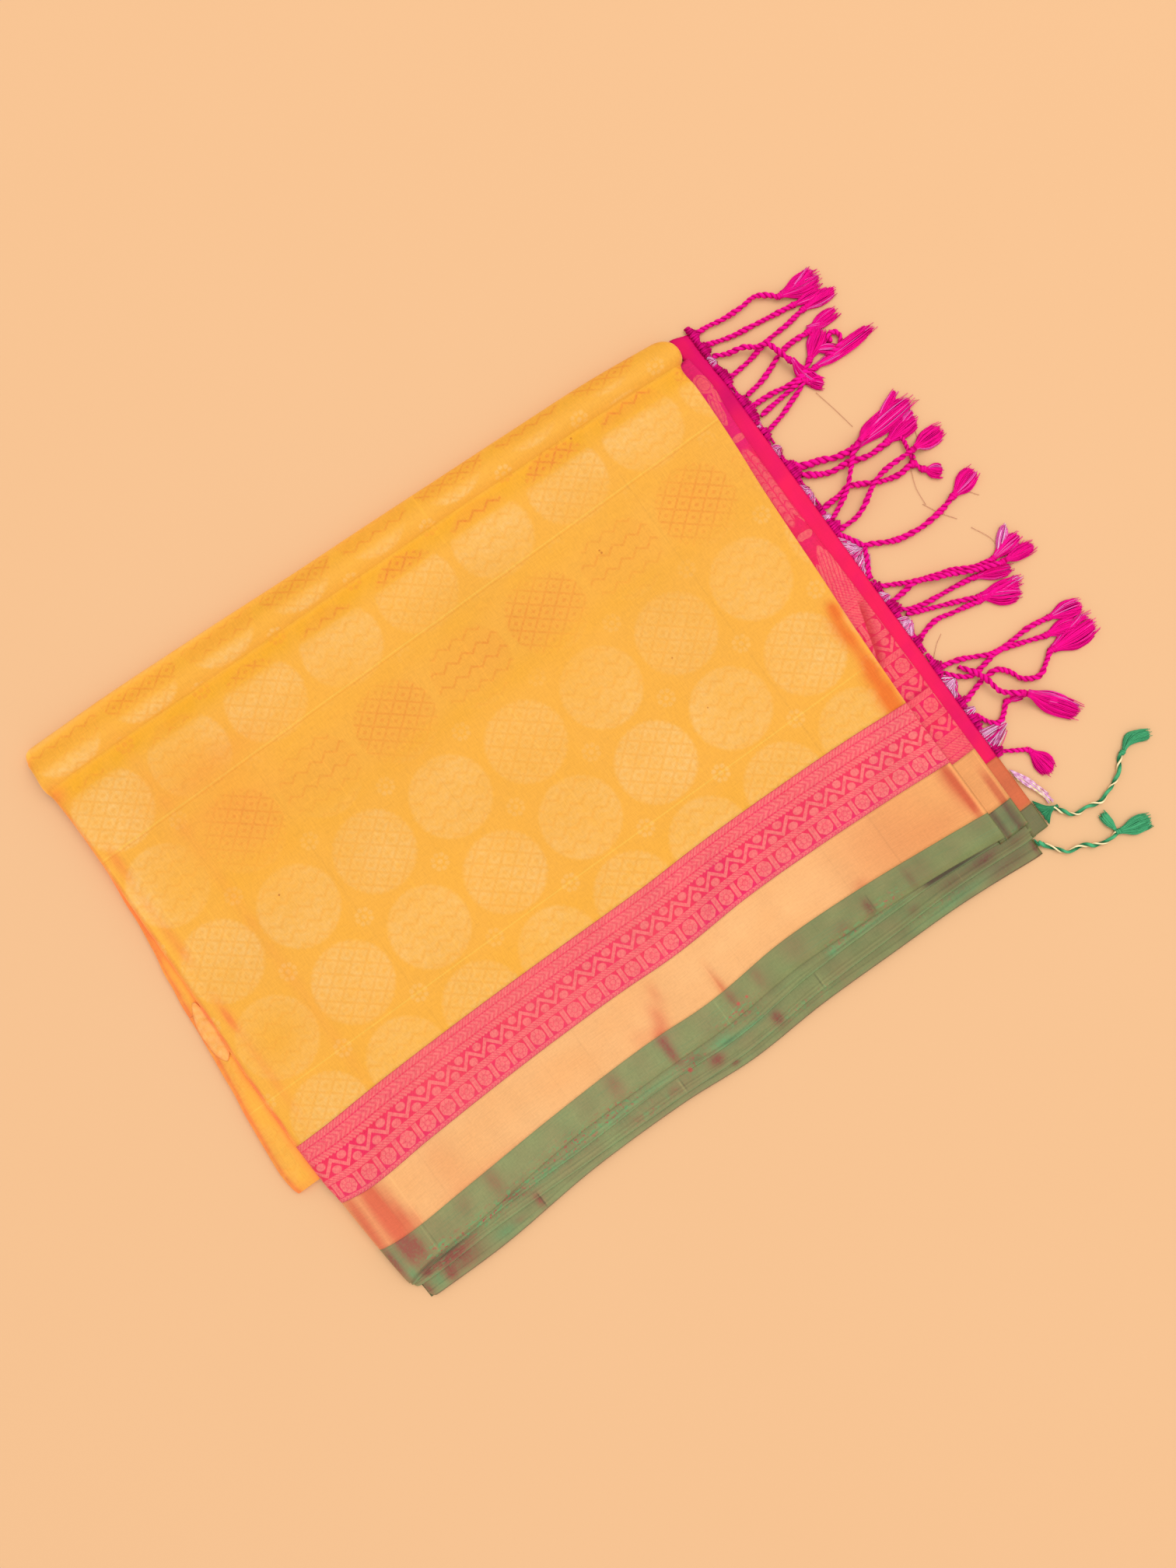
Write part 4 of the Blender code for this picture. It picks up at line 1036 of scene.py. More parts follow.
def yellow_cloth():
    """The yellow silk with its self-woven circles, nets, zigzags and small rosettes."""
    paint = Paint("yellow_weave", roughness=0.6, sheen=0.1, specular=0.2)
    x, y = paint.place()
    at_x, at_y = paint.spot()
    weave, slub = threads(x, y, 0.55, 0.62)
    fray = noise(x, y, 2.4, 2.4, offset=13.0, detail=1.0) - 0.5
    along = cell(x, FIRST_CIRCLE[0], PITCH)
    across = cell(y, FIRST_CIRCLE[1], PITCH)
    disc = inside(reach_of(along, across) + fray * 2.2, CIRCLE_RADIUS, 2.2)
    column = maths("ROUND", (x - FIRST_CIRCLE[0]) / PITCH)
    row = maths("ROUND", (y - FIRST_CIRCLE[1]) / PITCH)
    odd = inside(abs(maths("FLOORED_MODULO", column + row, 2.0) - 1), 0.5, 0.1)
    lines_dark, lines_light = circle_fill(along, across, odd)
    rosette = rosettes(x, y, fray)
    # Painted sheen: the figure is lighter than the ground where it faces the light, and darker elsewhere
    figure = paint.tone("figure")
    light = maths("MAXIMUM", figure, 0.0)
    dark = maths("MAXIMUM", -1 * figure, 0.0)
    # The painted sheen is uneven, in patches of several sizes
    patchy = noise(x, y, 60.0, 50.0, offset=3.0, detail=1.0) * 0.9 + 0.5
    uneven_sheen = noise(x, y, 5.0, 5.0, offset=23.0) * 1.2 + 0.4
    sheen_blots = noise(x, y, 16.0, 12.0, offset=71.0) * 0.8 + 0.6
    thin = noise(x, y, 3.0, 2.2, offset=77.0) * 1.6 - 0.1
    fill = disc * (0.9 + lines_light * 0.16 - lines_dark * 0.2)
    base = blend(paint.tone("deep"), colour(253, 180, 66), colour(250, 176, 38))
    share = (fill + rosette * 0.95) * light * patchy * uneven_sheen * sheen_blots * 0.52
    base = blend(maths("MINIMUM", share, 0.8), base, colour(254, 204, 126))
    base = blend((disc * 0.42 + rosette * 0.9) * dark * patchy * 0.7, base, colour(246, 150, 50))
    lines = disc * lines_dark * (dark * 0.75 + 0.14) * thin
    base = blend(maths("MAXIMUM", lines, 0.0), base, colour(240, 138, 46))
    # Guide lines woven along the length
    for level in LIGHT_GUIDES:
        base = blend(inside(abs(y - level), 0.6, 0.5) * 0.45, base, colour(255, 206, 84))
    base = blend(inside(abs(y - DARK_GUIDE), 0.5, 0.4) * 0.35, base, colour(236, 150, 44))
    # Painted reflected red of the folds, painted shade where they turn from the light, and small marks
    warm = blend(inside(at_x, 0.0, 60.0), colour(246, 122, 36), colour(251, 124, 64))
    base = blend(paint.tone("tint"), base, warm)
    for glow in GLOWS:
        away = reach_of((at_x - glow.x) * (1 / glow.half_x), (at_y - glow.y) * (1 / glow.half_y))
        base = blend(inside(away, 0.7, 0.4) * glow.strength * (uneven_sheen * 0.5 + 0.5), base, warm)
    base = dotted(base, MARKS, at_x, at_y, 0.5, 0.6, colour(186, 88, 30))
    coarse = noise(x, y, 2.0, 3.4, offset=31.0) - 0.5
    raised = noise(x, y, 1.1, 9.0, offset=37.0, detail=1.0) - 0.5
    share = 1 + slub * 0.15 + coarse * 0.13 + raised * 0.09 + paint.tone("shade")
    share = share + crease_lines(YELLOW_CREASES, at_x, at_y)
    height = weave * 0.35 + disc * 0.4 + rosette * 0.4 - lines_dark * disc * 0.7 + slub * 0.7
    return paint.finish(base, height, 0.3, depth=0.00025, share=share)


def hatching(x, y, size, lean):
    """Fine slanting threads, from 0 in their grooves to 1."""
    return maths("SMOOTH_MIN", abs(cell(x + y * lean, 0, size)) * (2.5 / size), 1.0, 0.3)


def hatched_row(x, y, low, high, size, lean, bold=0.62, level=None):
    """A row of slanting threads between two levels, which are the Y unless they are given."""
    shown = between(y if level is None else level, low, high)
    return shown * (hatching(x, y, size, lean) * bold + (1 - bold))


def medallion_row(across, down):
    """Eight-spoked medallions and the bars between them, about the row's own middle."""
    low_x = cell(across, 0, BAND_REPEAT)
    high_x = abs(cell(across, BAND_REPEAT / 2, BAND_REPEAT))
    corner = (abs(low_x) + abs(down)) * 0.7071
    octagon = most(abs(low_x), abs(down), corner)
    turn = maths("SINE", maths("ARCTAN2", down, low_x) * 4)
    spokes = inside(abs(turn), 0.28, 0.12) * between(octagon, 1.6, 6.0, 0.3)
    hub = between(octagon, 2.2, 3.0, 0.3)
    medallion = inside(octagon, 7.0, 0.4) * (1 - most(spokes, hub) * 0.5)
    post = inside(high_x, 2.4, 0.35) * (1 - inside(high_x, 0.25, 0.25) * 0.4)
    return most(medallion, post)


def zigzag_row(across, down):
    """A zigzag with its points at 0, and a dot under each point and in each hollow."""
    peak = zigzag(across, BAND_REPEAT / 2)
    found = inside(abs(down + 5.6 - peak * (11.0 / (BAND_REPEAT / 2))), 2.2, 0.5)
    for middle, level in ((0, 4.4), (BAND_REPEAT / 2, -4.6)):
        aside = cell(across, middle, BAND_REPEAT)
        away = maths("SQRT", aside * aside * 0.7 + (down - level) * (down - level))
        found = most(found, inside(away, 3.6, 0.6))
    return found


def band_pattern(x, y):
    """The figured border, 66 mm from its top line down: 1 where the salmon figure shows."""
    across = x - BAND_MIDDLE
    rows = hatched_row(x, y, 0.3, 6.8, 3.6, 0.9)
    rows = rows + hatched_row(x, abs(y - 12.3), 7.3, 17.2, 5.4, 1.1, level=y)
    rows = rows + hatched_row(x, y, 18.4, 24.4, 3.7, -0.9, level=y + zigzag(x, 1.85) * 0.8)
    rows = rows + zigzag_row(across, y - 32.6) * between(y, 24.4, 40.4)
    rows = rows + hatched_row(x, y, 40.6, 46.4, 3.4, -1.2)
    rows = rows + medallion_row(across, y - 54.1) * between(y, 46.9, 61.4)
    rows = rows + hatched_row(x, abs(y - 63.8), 62.0, 65.8, 3.4, 1.2, 0.7, level=y)
    rules = between(y, 6.2, 7.5, 0.2) + between(y, 16.9, 18.4, 0.2)
    dashes = inside(zigzag(x, 1.7), 0.9, 0.3)
    return rows * (1 - rules) + rules * (0.05 + dashes * 0.35)


def panel_rows(x, y):
    """The rows of the border's figures low on the panel, and hatched cloth with rules."""
    across = x - PANEL_MIDDLE
    repeat = maths("WRAP", PANEL_ROWS_TOP - y, PANEL_ROWS_REPEAT, 0.0)
    rows = medallion_row(across, repeat - 8.0) * between(repeat, 0.4, 15.4)
    rows = rows + hatched_row(x, y, 15.8, 21.8, 3.4, 1.1, 0.4, repeat)
    rows = rows + zigzag_row(across + BAND_REPEAT / 2, repeat - 30.2) * between(repeat, 22.2, 38.2)
    rows = rows + hatched_row(x, y, 38.4, PANEL_ROWS_REPEAT, 3.4, -1.1, 0.4, repeat)
    plain = hatching(x, y, 3.6, 1.0) * 0.55 + 0.45
    gaps = above(zigzag(x, 1.7), 0.9, 0.3)
    for level in PANEL_RULES:
        plain = plain * (1 - inside(abs(y - level), 0.5, 0.25) * (1 - gaps * 0.5) * 0.8)
    return mix(plain, rows, between(y, PANEL_ROWS_FOOT, PANEL_ROWS_TOP, 0.3))


def panel_pattern(x, y):
    """The loose end: leaves and scales high up, and rows of figures below."""
    wander = noise(x, y, 9.0, 9.0, offset=81.0, detail=1.0) * 3.0 - 1.5
    leaves = []
    for leaf in LEAVES:
        aside = (x + wander - leaf.x - (y - leaf.y) * leaf.lean) / leaf.half_x
        reach = reach_of(aside, (y + wander - leaf.y) / leaf.half_y)
        groove = between(reach, 0.66, 0.74, 0.05) * 0.8 * leaf.groove
        leaves.append(inside(reach, 1.0, 0.05) * (1 - groove))
    figure = most(*leaves)
    # Scales on the largest leaf, in two columns, and lines along the leaf tips below it
    column = cell(x + wander * 0.4, SCALES_MIDDLE, SCALE_WIDTH)
    arc = cell(y + column * column * 0.28, 0, SCALE_HEIGHT)
    scales = most(above(abs(arc), 3.7, 0.5), above(abs(column), 3.2, 0.4))
    figure = figure * (1 - scales * between(y, 68, 150, 2.0) * 0.85)
    strokes = inside(abs(cell(x - y * 0.33 + wander * 0.5, 0, STROKE_REPEAT)), 0.55, 0.4)
    figure = figure * (1 - strokes * between(y, -16, 36, 5.0) * 0.75)
    figure = figure * (1 - strokes * between(y, 184, 212, 5.0) * 0.6)
    rows = panel_rows(x, y) * (1 - strokes * between(y, -16, 14, 6.0) * 0.7)
    return mix(rows, figure, above(y, 6.0, 8.0))


def zari_material(paint, x, y, figure, salmon, low, slanted=None):
    """Salmon figures on crimson, which shows boldly or is half hidden by the salmon."""
    weave, slub = threads(x, y, 0.7, 0.7)
    ground = noise(x, y, 30.0, 14.0, offset=5.0, detail=1.0)
    mottle = noise(x, y, 2.4, 2.4, offset=17.0) - 0.5
    crimson = blend(ground, colour(244, 24, 74), colour(246, 4, 100))
    crimson = blend(low, crimson, colour(236, 0, 108))
    crimson = blend(paint.tone("bold"), colour(251, 84, 98), crimson)
    slack = above(noise(x, y, 7.0, 5.0, offset=19.0), 0.58, 0.1)
    base = blend(figure * (0.92 + mottle * 0.6 - slack * 0.22), crimson, salmon)
    base = blend(paint.tone("tint"), base, colour(214, 62, 52))
    if slanted is not None:
        base = blend(slanted, base, colour(206, 30, 44))
    twill = hatching(x, y, 2.2, 0.8) - 0.6
    share = 1 + slub * 0.2 + mottle * 0.26 + twill * 0.07 + paint.tone("shade")
    height = weave * 0.4 + figure * 1.2 + slub * 0.8
    return paint.finish(base, height, 0.4, depth=0.0003, share=share)


def zari_cloth():
    paint = Paint("zari_band", roughness=0.55, sheen=0.08, specular=0.2)
    x, y = paint.place()
    low = above(y, 58.0, 6.0) * 0.7
    return zari_material(paint, x, y, band_pattern(x, y), colour(253, 124, 122), low)


def panel_cloth():
    """The figured stretch of the loose end, on the map of its own millimetres."""
    paint = Paint("panel", roughness=0.55, sheen=0.08, specular=0.2)
    x, y = paint.place()
    low = above(y, 150.0, 10.0) * 0.9
    salmon = blend(above(y, 60.0, 60.0), colour(252, 104, 108), colour(245, 88, 102))
    # A slanting fold that turns from the light, sharp on its left
    at_x, at_y = paint.spot()
    away = at_x - 355.0 - (at_y + 18.0) * 0.31
    slanted = above(away, 0.2, 0.7) * inside(away, 6.5, 6.5) * between(at_y, -84.0, -26.0, 8.0) * 0.85
    return zari_material(paint, x, y, panel_pattern(x, y), salmon, low, slanted)


def gold_cloth():
    paint = Paint("gold_zari", roughness=0.5, metallic=0.1, sheen=0.05, specular=0.3)
    x, y = paint.place()
    weave, slub = threads(x, y, 0.9, 0.55)
    fine = noise(x, y, 30.0, 0.7, offset=9.0) - 0.5
    broad = noise(x, y, 26.0, 400.0, offset=4.0, detail=1.0) - 0.5
    mottle = noise(x, y, 3.0, 2.0, offset=27.0, detail=3.0) - 0.5
    base = blend(noise(x, y, 70.0, 40.0, offset=29.0), colour(254, 194, 130), colour(250, 178, 110))
    base = blend(above(x, 215.0, 70.0) * 0.8, base, colour(249, 174, 98))
    # Painted shade: browner where the cloth turns from the light
    brown = blend(inside(x, 0.0, 60.0), colour(218, 98, 56), colour(232, 110, 74))
    base = blend(paint.tone("tint"), base, brown)
    share = 1 + slub * 0.12 + fine * 0.14 + mottle * 0.14 + broad * 0.05 + paint.tone("shade")
    share = share + crease_lines(GOLD_CREASES, *paint.spot())
    return paint.finish(base, weave * 0.4 + slub * 0.5 + fine * 0.6, 0.3, share=share)


def green_cloth():
    """Shot silk: green over a red brown that shows where it turns from the light."""
    paint = Paint("green_shot", roughness=0.48, sheen=0.15, specular=0.4, sheen_tint=colour(150, 190, 140))
    x, y = paint.place()
    at_x, at_y = paint.spot()
    weave, slub = threads(x, y, 0.6, 0.6)
    patch = noise(x, y, 26.0, 14.0, offset=6.0)
    streak = noise(x, y, 60.0, 1.6, offset=1.0)
    grain = noise(x, y, 2.6, 2.2, offset=41.0)
    base = blend(patch, colour(122, 142, 80), colour(144, 141, 86))
    base = blend(inside(x, 60.0, 220.0) * 0.8, base, colour(150, 156, 101))
    base = blend(inside(streak, 0.36, 0.08) * 0.22, base, colour(84, 146, 96))
    brown = blend(inside(x, 110.0, 160.0), colour(122, 66, 46), colour(158, 84, 66))
    base = blend(paint.tone("tint") * (grain + 0.5), base, brown)
    base = blend(paint.tone("glint") * (grain + 0.5), base, colour(92, 164, 108))
    # Ends of bright green and red thread
    fleck = paint.tone("fleck")
    bright = above(noise(x, y, 6.5, 3.2, offset=61.0, detail=1.0), 0.62, 0.04)
    base = blend(bright * fleck * 0.65, base, colour(92, 176, 110))
    red = above(noise(x, y, 4.0, 3.2, offset=51.0, detail=1.0), 0.66, 0.03)
    base = blend(red * fleck * 0.85, base, colour(184, 92, 76))
    base = dotted(base, RED_ENDS, at_x, at_y, 0.9, 0.85, colour(206, 78, 70))
    share = 1 + slub * 0.18 + (patch - 0.5) * 0.1 + (grain - 0.5) * 0.22 + paint.tone("shade")
    share = share + crease_lines(GREEN_CREASES, at_x, at_y)
    return paint.finish(base, weave * 0.4 + slub * 0.7, 0.35, share=share)


def crimson_cloth():
    paint = Paint("crimson_plain", roughness=0.6, sheen=0.08, specular=0.08, sheen_tint=colour(255, 40, 100))
    x, y = paint.place()
    weave, slub = threads(x, y, 0.55, 0.55)
    base = blend(paint.tone("tint"), colour(254, 30, 91), colour(234, 4, 108))
    share = 1 + slub * 0.1 + paint.tone("shade")
    return paint.finish(base, weave * 0.4 + slub * 0.6, 0.3, share=share)


def thread_material(name, dark, light, roughness=0.7, specular=0.05):
    """Twisted thread: painted shade in its grooves and painted light on its crests, as its tone says."""
    paint = Paint(name, roughness, sheen=0.15, specular=specular, sheen_tint=light)
    rough = paint.grain(900.0)
    share = paint.tone("tone") + (rough - 0.5) * 0.4
    base = blend(maths("MINIMUM", maths("MAXIMUM", share, 0.0), 1.0), dark, light)
    return paint.finish(base, rough, 0.25)


def floor_material():
    paint = Paint("floor_plain", roughness=0.9, specular=0.1)
    return paint.finish(blend(paint.grain(3.0), colour(249, 198, 149), colour(250, 200, 152)))


# Each cloth with the slot that it fills
Look = namedtuple("Look", "material slot")
yellow = Look(yellow_cloth(), "yellow_silk")
zari = Look(zari_cloth(), "zari_border")
panel = Look(panel_cloth(), "zari_border")
gold = Look(gold_cloth(), "gold_border")
green = Look(green_cloth(), "green_selvedge")
crimson = Look(crimson_cloth(), "crimson_silk")


# The top layer's pieces

ROLL_ROWS = stops(0.0, ROLL_FOOT_SHARE, 4)[:-1] + stops(ROLL_FOOT_SHARE, 1.0, 34)[:-1]
BAND_ROWS = stops(1, 2, 118) + stops(2, 3, 24)[1:] + stops(3, 4, 20)[1:]
EDGE_ROWS = stops(4, 4.8, 12)[1:] + [4.85, 4.9, 4.95, 5.0]


def make_top():
    rows = ROLL_ROWS + BAND_ROWS + EDGE_ROWS
    grid, weave_x, weave_y = sheet_grid(rows)
    normals = grid_normals(grid)
    v = np.array(rows)[:, None]
    for name, low, high, look, node, across, tones in (
        ("top_body", 0.0, 2.0, yellow, "body_top", None, yellow_tones),
        ("top_zari", 2.0, 3.0, zari, "border_zari_top", BAND_WIDTH, zari_tones),
        ("top_gold", 3.0, 4.0, gold, "border_gold_top", GOLD_WIDTH, gold_tones),
        ("top_green", 4.0, 5.0, green, "border_green_top", GREEN_WIDTH, green_tones),
    ):
        part = slice(rows.index(low), rows.index(high) + 1)
        x = grid[part, :, 0]
        pulled = 7.0 * bump_at(x, -205, 75) + 3.5 * bump_at(x, 215, 35) if look == zari else 0.0
        down = weave_y[part] if across is None else (v[part] - low) * across
        place = (weave_x[part] - pulled, down)
        shell(name, grid[part], place, look, node, tones(x, grid[part, :, 1]), normals[part])


# The roll's own light and shadow, by how far up they are from the valley
ROLL_LIGHTS = table(
    "rise half strength",
    (-2.5, 3.5, 0.05), (3, 3.5, 0.06), (11, 5, 0.03), (26, 6, -0.02), (38, 5, 0.11),
)


def yellow_tones(x, y):
    left = x - left_end(y)
    rise = y - line("valley", x)
    ragged = 0.7 + 0.3 * ripple(x * 0.2, y, 30, 8)
    # The tint is painted reflected red at the left and painted shade at the right end
    tint = patches(ORANGES, x, y) * ragged + 0.75 * ease(7.0, 2.0, left) * ease(262, 240, y) * ragged
    # Painted light and shade, lighter at the left end against its shadow
    shade = patches(BODY_LIGHTS, x, y) + 0.018 * ripple(x, y, 110, 5) + 0.4 * ease(5.0, 0.0, left)
    for light in ROLL_LIGHTS:
        shade = shade + light.strength * bump_at(rise, light.rise, light.half)
    # Deeper gold, as painted shade in the valley and high on the roll, and in broad patches
    deep = patches(DEEP_GOLDS, x, y, 0.06) + 0.1 * ripple(x, y, 60, 15)
    deep = deep + 0.8 * ease(1.0, -1.0, rise) * ease(-30, -8, rise) + 0.55 * bump_at(rise, 27, 9)
    deep = deep + 0.15 * ripple(x, y, 24, 26) * bump_at(rise, -10, 12)
    # The figure's painted sheen, darker in the valley and high on the roll, lighter just above the valley
    figure = patches(FIGURES, x, y, 0.62) + 0.12 * ripple(x, y, 90, 25)
    figure = figure - 1.2 * ease(-26, -10, rise) * ease(3, -1, rise) - 1.35 * bump_at(rise, 27, 11)
    figure = figure + 0.35 * bump_at(rise, 7, 5)
    return {"tint": np.clip(tint, 0, 1), "shade": shade, "deep": np.clip(deep, 0, 1), "figure": figure}


def zari_tones(x, y):
    left = x - left_end(y)
    bold = 0.48 + 0.25 * ease(-20, 120, x) + 0.18 * ease(-210, -260, x) + 0.12 * ripple(x, y, 80, 18)
    # Painted light near the left end, against its shadow; the tint there is a browner red
    shade = 0.03 * ripple(x, y, 60, 6) + 0.2 * ease(4.0, 0.0, left)
    return {"tint": 0.3 * ease(5.0, 0.5, left), "shade": shade, "bold": np.clip(bold, 0, 1)}


def gold_tones(x, y):
    # Painted light near the left end, against its shadow; the brown patches are painted shade
    shade = patches(GOLD_LIGHTS, x, y) + 0.02 * ripple(x, y * 0.2, 24, 19)
    shade = shade + 0.2 * ease(4.0, 0.0, x - left_end(y))
    return {"tint": np.clip(patches(GOLD_BROWNS, x, y), 0, 1), "shade": shade}


def green_tones(x, y):
    # The shot silk's brown and teal, painted where it turns from or to the light; painted light at the left
    # end
    tint = patches(BROWNS, x, y, 0.12) + 0.12 * ripple(x, y, 50, 12)
    left = x - left_end(y)
    return {
        "tint": np.clip(tint, 0, 1),
        "glint": np.clip(patches(TEALS, x, y), 0, 1),
        "fleck": np.clip(patches(FLECKS, x, y), 0, 1),
        "shade": patches(GREEN_LIGHTS, x, y) + 0.04 * ripple(x, y, 40, 9) + 0.15 * ease(4.0, 0.0, left),
    }


# The lower layers' edges, the loose end and its hem


def make_selvedge(name, layer, right, edge_level=None):
    """A green edge below the top layer, with the thin steps of its own folded layers."""
    corner, left, steps = SELVEDGES[name]
    share, left_turn, _ = sheet_columns(SELVEDGE_COLUMNS)
    share = share[:, :-END_COLUMNS]
    left_turn = left_turn[:, :-END_COLUMNS]
    inward = np.array(stops(25, 10, 8)[:-1] + stops(10, 0.6, 33) + [0.4, 0.2, 0.0])[:, None]
    left = left + corner - corner * np.sqrt(1 - np.clip(1 - inward / corner, 0, 1) ** 2)
    x = mix(left + LEFT_ROUND, right, share) - LEFT_ROUND * np.cos(left_turn)
    y = line(name, x) + inward
    z = lower_height(layer, x, y)
    z = z - (z - LEFT_LEVEL_ON_FLOOR) * (1 - np.sin(left_turn))
    drop = EDGE_DROP if edge_level is None else z - edge_level
    tones = green_tones(x, y)
    # Each step drops the edge, with painted shade just below it
    for k, (away, wander, height) in enumerate(steps):
        step = away + wander * ripple(x, 0 * x, 150, 200 + 10 * layer + k)
        z = z - height * ease(step + 0.35, step - 0.1, inward)
        tones["shade"] = tones["shade"] - 0.2 * bump_at(inward, step - 0.9, 0.6)
    uneven = 0.1 * ripple(x, y, 22, 20 + layer) * ease(0.0, 4.0, inward) * np.sin(left_turn)
    z = z - ease(0.65, 0.0, inward) * drop + uneven
    # Painted shade further in, under the layers above
    tones["shade"] = tones["shade"] - 0.12 * ease(5.0, 12.0, inward)
    # Painted shade, browner, along the lowest edge's rim; a painted highlight along the others' edge
    if name == "lowest":
        rim = ease(2.0, 0.4, inward)
        tones["shade"] = tones["shade"] - 0.32 * rim
        tones["tint"] = np.clip(tones["tint"] + 0.5 * rim, 0, 1)
    else:
        tones["glint"] = np.clip(tones["glint"] + 0.25 * bump_at(inward, 0.7, 0.8), 0, 1)
    # Painted shadow in the slit under the top layer's edge, darker and browner
    if name == "second":
        half = mix(3.4, 1.9, ease(268, 300, x))
        slit = bump_at(y, line("edge", x) - 1.2, half) * ease(242, 256, x) * mix(1.0, 0.1, ease(284, 324, x))
        tones["shade"] = tones["shade"] - 0.62 * slit
        tones["tint"] = np.clip(tones["tint"] + 0.5 * slit, 0, 1)
    shell(name + "_edge", stacked(x, y, z), (x, y), green, "selvedge_" + name, tones)


def rows_down(marks, counts):
    """Levels down the cloth from mark to mark, and the slice of them for each stretch."""
    levels = [marks[0]]
    for start, end, count in zip(marks, marks[1:], counts):
        levels += stops(start, end, count)[1:]
    edges = np.cumsum([0] + counts)
    return np.array(levels)[:, None], [slice(start, end + 1) for start, end in zip(edges, edges[1:])]


def make_pallu():
    """What shows of the loose end: its panel, and the bands across it."""
    marks = [PALLU_TOP, PALLU_ZARI, PALLU_GOLD, PALLU_GREEN, PALLU_FOOT]
    y, parts = rows_down(marks, [110, 20, 16, 12])
    share = np.array([0, 0.15, 0.3, 0.45, 0.6, 0.72, 0.84, 0.92, 0.97, 1.0])[None, :]
    x = mix(PALLU_START, read(PALLU_EDGE, "x", y), share)
    y = y + 0 * x
    z = lower_height(1, x, y)
    z = z - EDGE_DROP * np.maximum(ease(0.9, 1.0, share), ease(PALLU_FOOT + 2, PALLU_FOOT, y))
    z = z + 0.2 * ripple(x, y, 40, 50) * ease(1.0, 0.9, share) * ease(0.0, 0.3, share)
    z = mix(z, PALLU_LEVEL_AT_ROLL, ease(UNDER_ROLL - 27, UNDER_ROLL, y))
    grid = stacked(x, y, z)
    normals = grid_normals(grid)
    # Painted shade: the gold turns browner and darker in a stripe, and the green in two
    half = mix(1.6, 3.2, ease(PALLU_ZARI, PALLU_GREEN, y))
    stripe = bump_at(x, GOLD_STRIPE, half) * mix(0.1, 1.0, ease(-208, -232, y))
    dark = 0.6 * bump_at(x, 353.5, 4.0) + 0.55 * bump_at(x, 338, 3.4) + 0.16
    looks = (
        ("loose_panel", panel, "pallu_panel", 0 * x, 0 * x),
        ("loose_band", panel, "pallu_zari", 0 * x, 0 * x),
        ("loose_gold", gold, "pallu_gold", 0.95 * stripe + 0.2, -0.02 - 0.08 * stripe),
        ("loose_green", green, "pallu_green", dark, -0.1 - 0.34 * dark),
    )
    for k, (part, (name, look, node, tint, lift)) in enumerate(zip(parts, looks)):
        tones = {
            "tint": tint[part],
            "shade": 0.03 * ripple(x[part], y[part], 30, 60 + k) + lift[part],
            "glint": 0.15 * bump_at(x[part], 347, 4.0),
            "fleck": 0.4 * ease(PALLU_GREEN - 18, PALLU_FOOT, y[part]),
            "bold": 1.0,
        }
        shell(name, grid[part], (x[part], y[part]), look, node, tones, normals[part])


def make_hem():
    """The plain strip across the loose end, rounded down to the floor at its edge."""
    y, parts = rows_down([HEM_TOP, HEM_GOLD, HEM_GREEN, HEM_FOOT], [150, 18, 12])
    start = mix(read(PALLU_EDGE, "x", y) - HEM_UNDER, HEM_TOP_LEFT, ease(ROLL_END_FROM, PALLU_TOP, y))
    turn = np.radians(np.array([90, 90, 90, 90, 90, 78, 64, 50, 36, 22, 10, 0]))[None, :]
    flat = np.array([0, 0.25, 0.5, 0.75] + [1.0] * 8)[None, :]
    x = mix(start, HEM_END - HEM_ROUND, flat) + HEM_ROUND * np.cos(turn)
    y = y - HEM_TOP_SLANT * ease(HEM_TOP_LEFT, HEM_END, x) * ease(240, HEM_TOP, y)
    z = mix(lower_height(2, x, y), HEM_LEVEL_AT_ROLL, ease(UNDER_ROLL - 37, UNDER_ROLL, y))
    z = mix(z, HEM_TOP_LEVEL, ease(262, HEM_TOP, y)) + 0.18 * ripple(x, y, 28, 70) * np.sin(turn) ** 2
    z = z - (z - HEM_FOOT_LEVEL) * (1 - np.sin(turn))
    grid = stacked(x, y, z)
    normals = grid_normals(grid)
    # The crimson strip is darker at its edge, and where the table says, in painted shade; the others are even
    tint = read(HEM_SHADES, "magenta", y) + 0.35 * ease(368, 372, x) * ease(150, 230, y)
    tint = tint + 0.45 * ease(373, 376, x)
    shade = -1.0 * read(HEM_SHADES, "dark", y) - 0.04 * ease(373, 376, x)
    band = 0.92 - 0.62 * ease(HEM_GREEN + 1, HEM_GREEN - 1, y)
    looks = (
        ("hem_plain", crimson, "hem_crimson", tint, shade, 0.15),
        ("hem_orange", gold, "hem_gold", band, 0 * x - 0.02, 0.0),
        ("hem_dark", green, "hem_green", band, 0 * x - 0.22, 0.0),
    )
    for k, (part, (name, look, node, tint, shade, uneven)) in enumerate(zip(parts, looks)):
        tones = {
            "tint": np.clip(tint[part] + uneven * ripple(x[part], y[part], 20, 84), 0, 1),
            "shade": 0.04 * ripple(x[part], y[part], 26, 80 + k) + shade[part],
            "glint": 0.0,
            "fleck": 0.0,
        }
        shell(name, grid[part], (x[part], y[part]), look, node, tones, normals[part])


# Folded stretches past the left end


def fold_outer(y, upper):
    return np.where(upper, read(UPPER_FOLD, "x", y), read(LOWER_FOLD, "x", y))


def fold_top(share):
    """The folded stretches' top, from their edge at 0 to where they go under the pile at 1."""
    return FOLD_TOP_LEVEL * mix(FOLD_EDGE_SHARE, 1.0, np.sin(share * math.pi / 2))


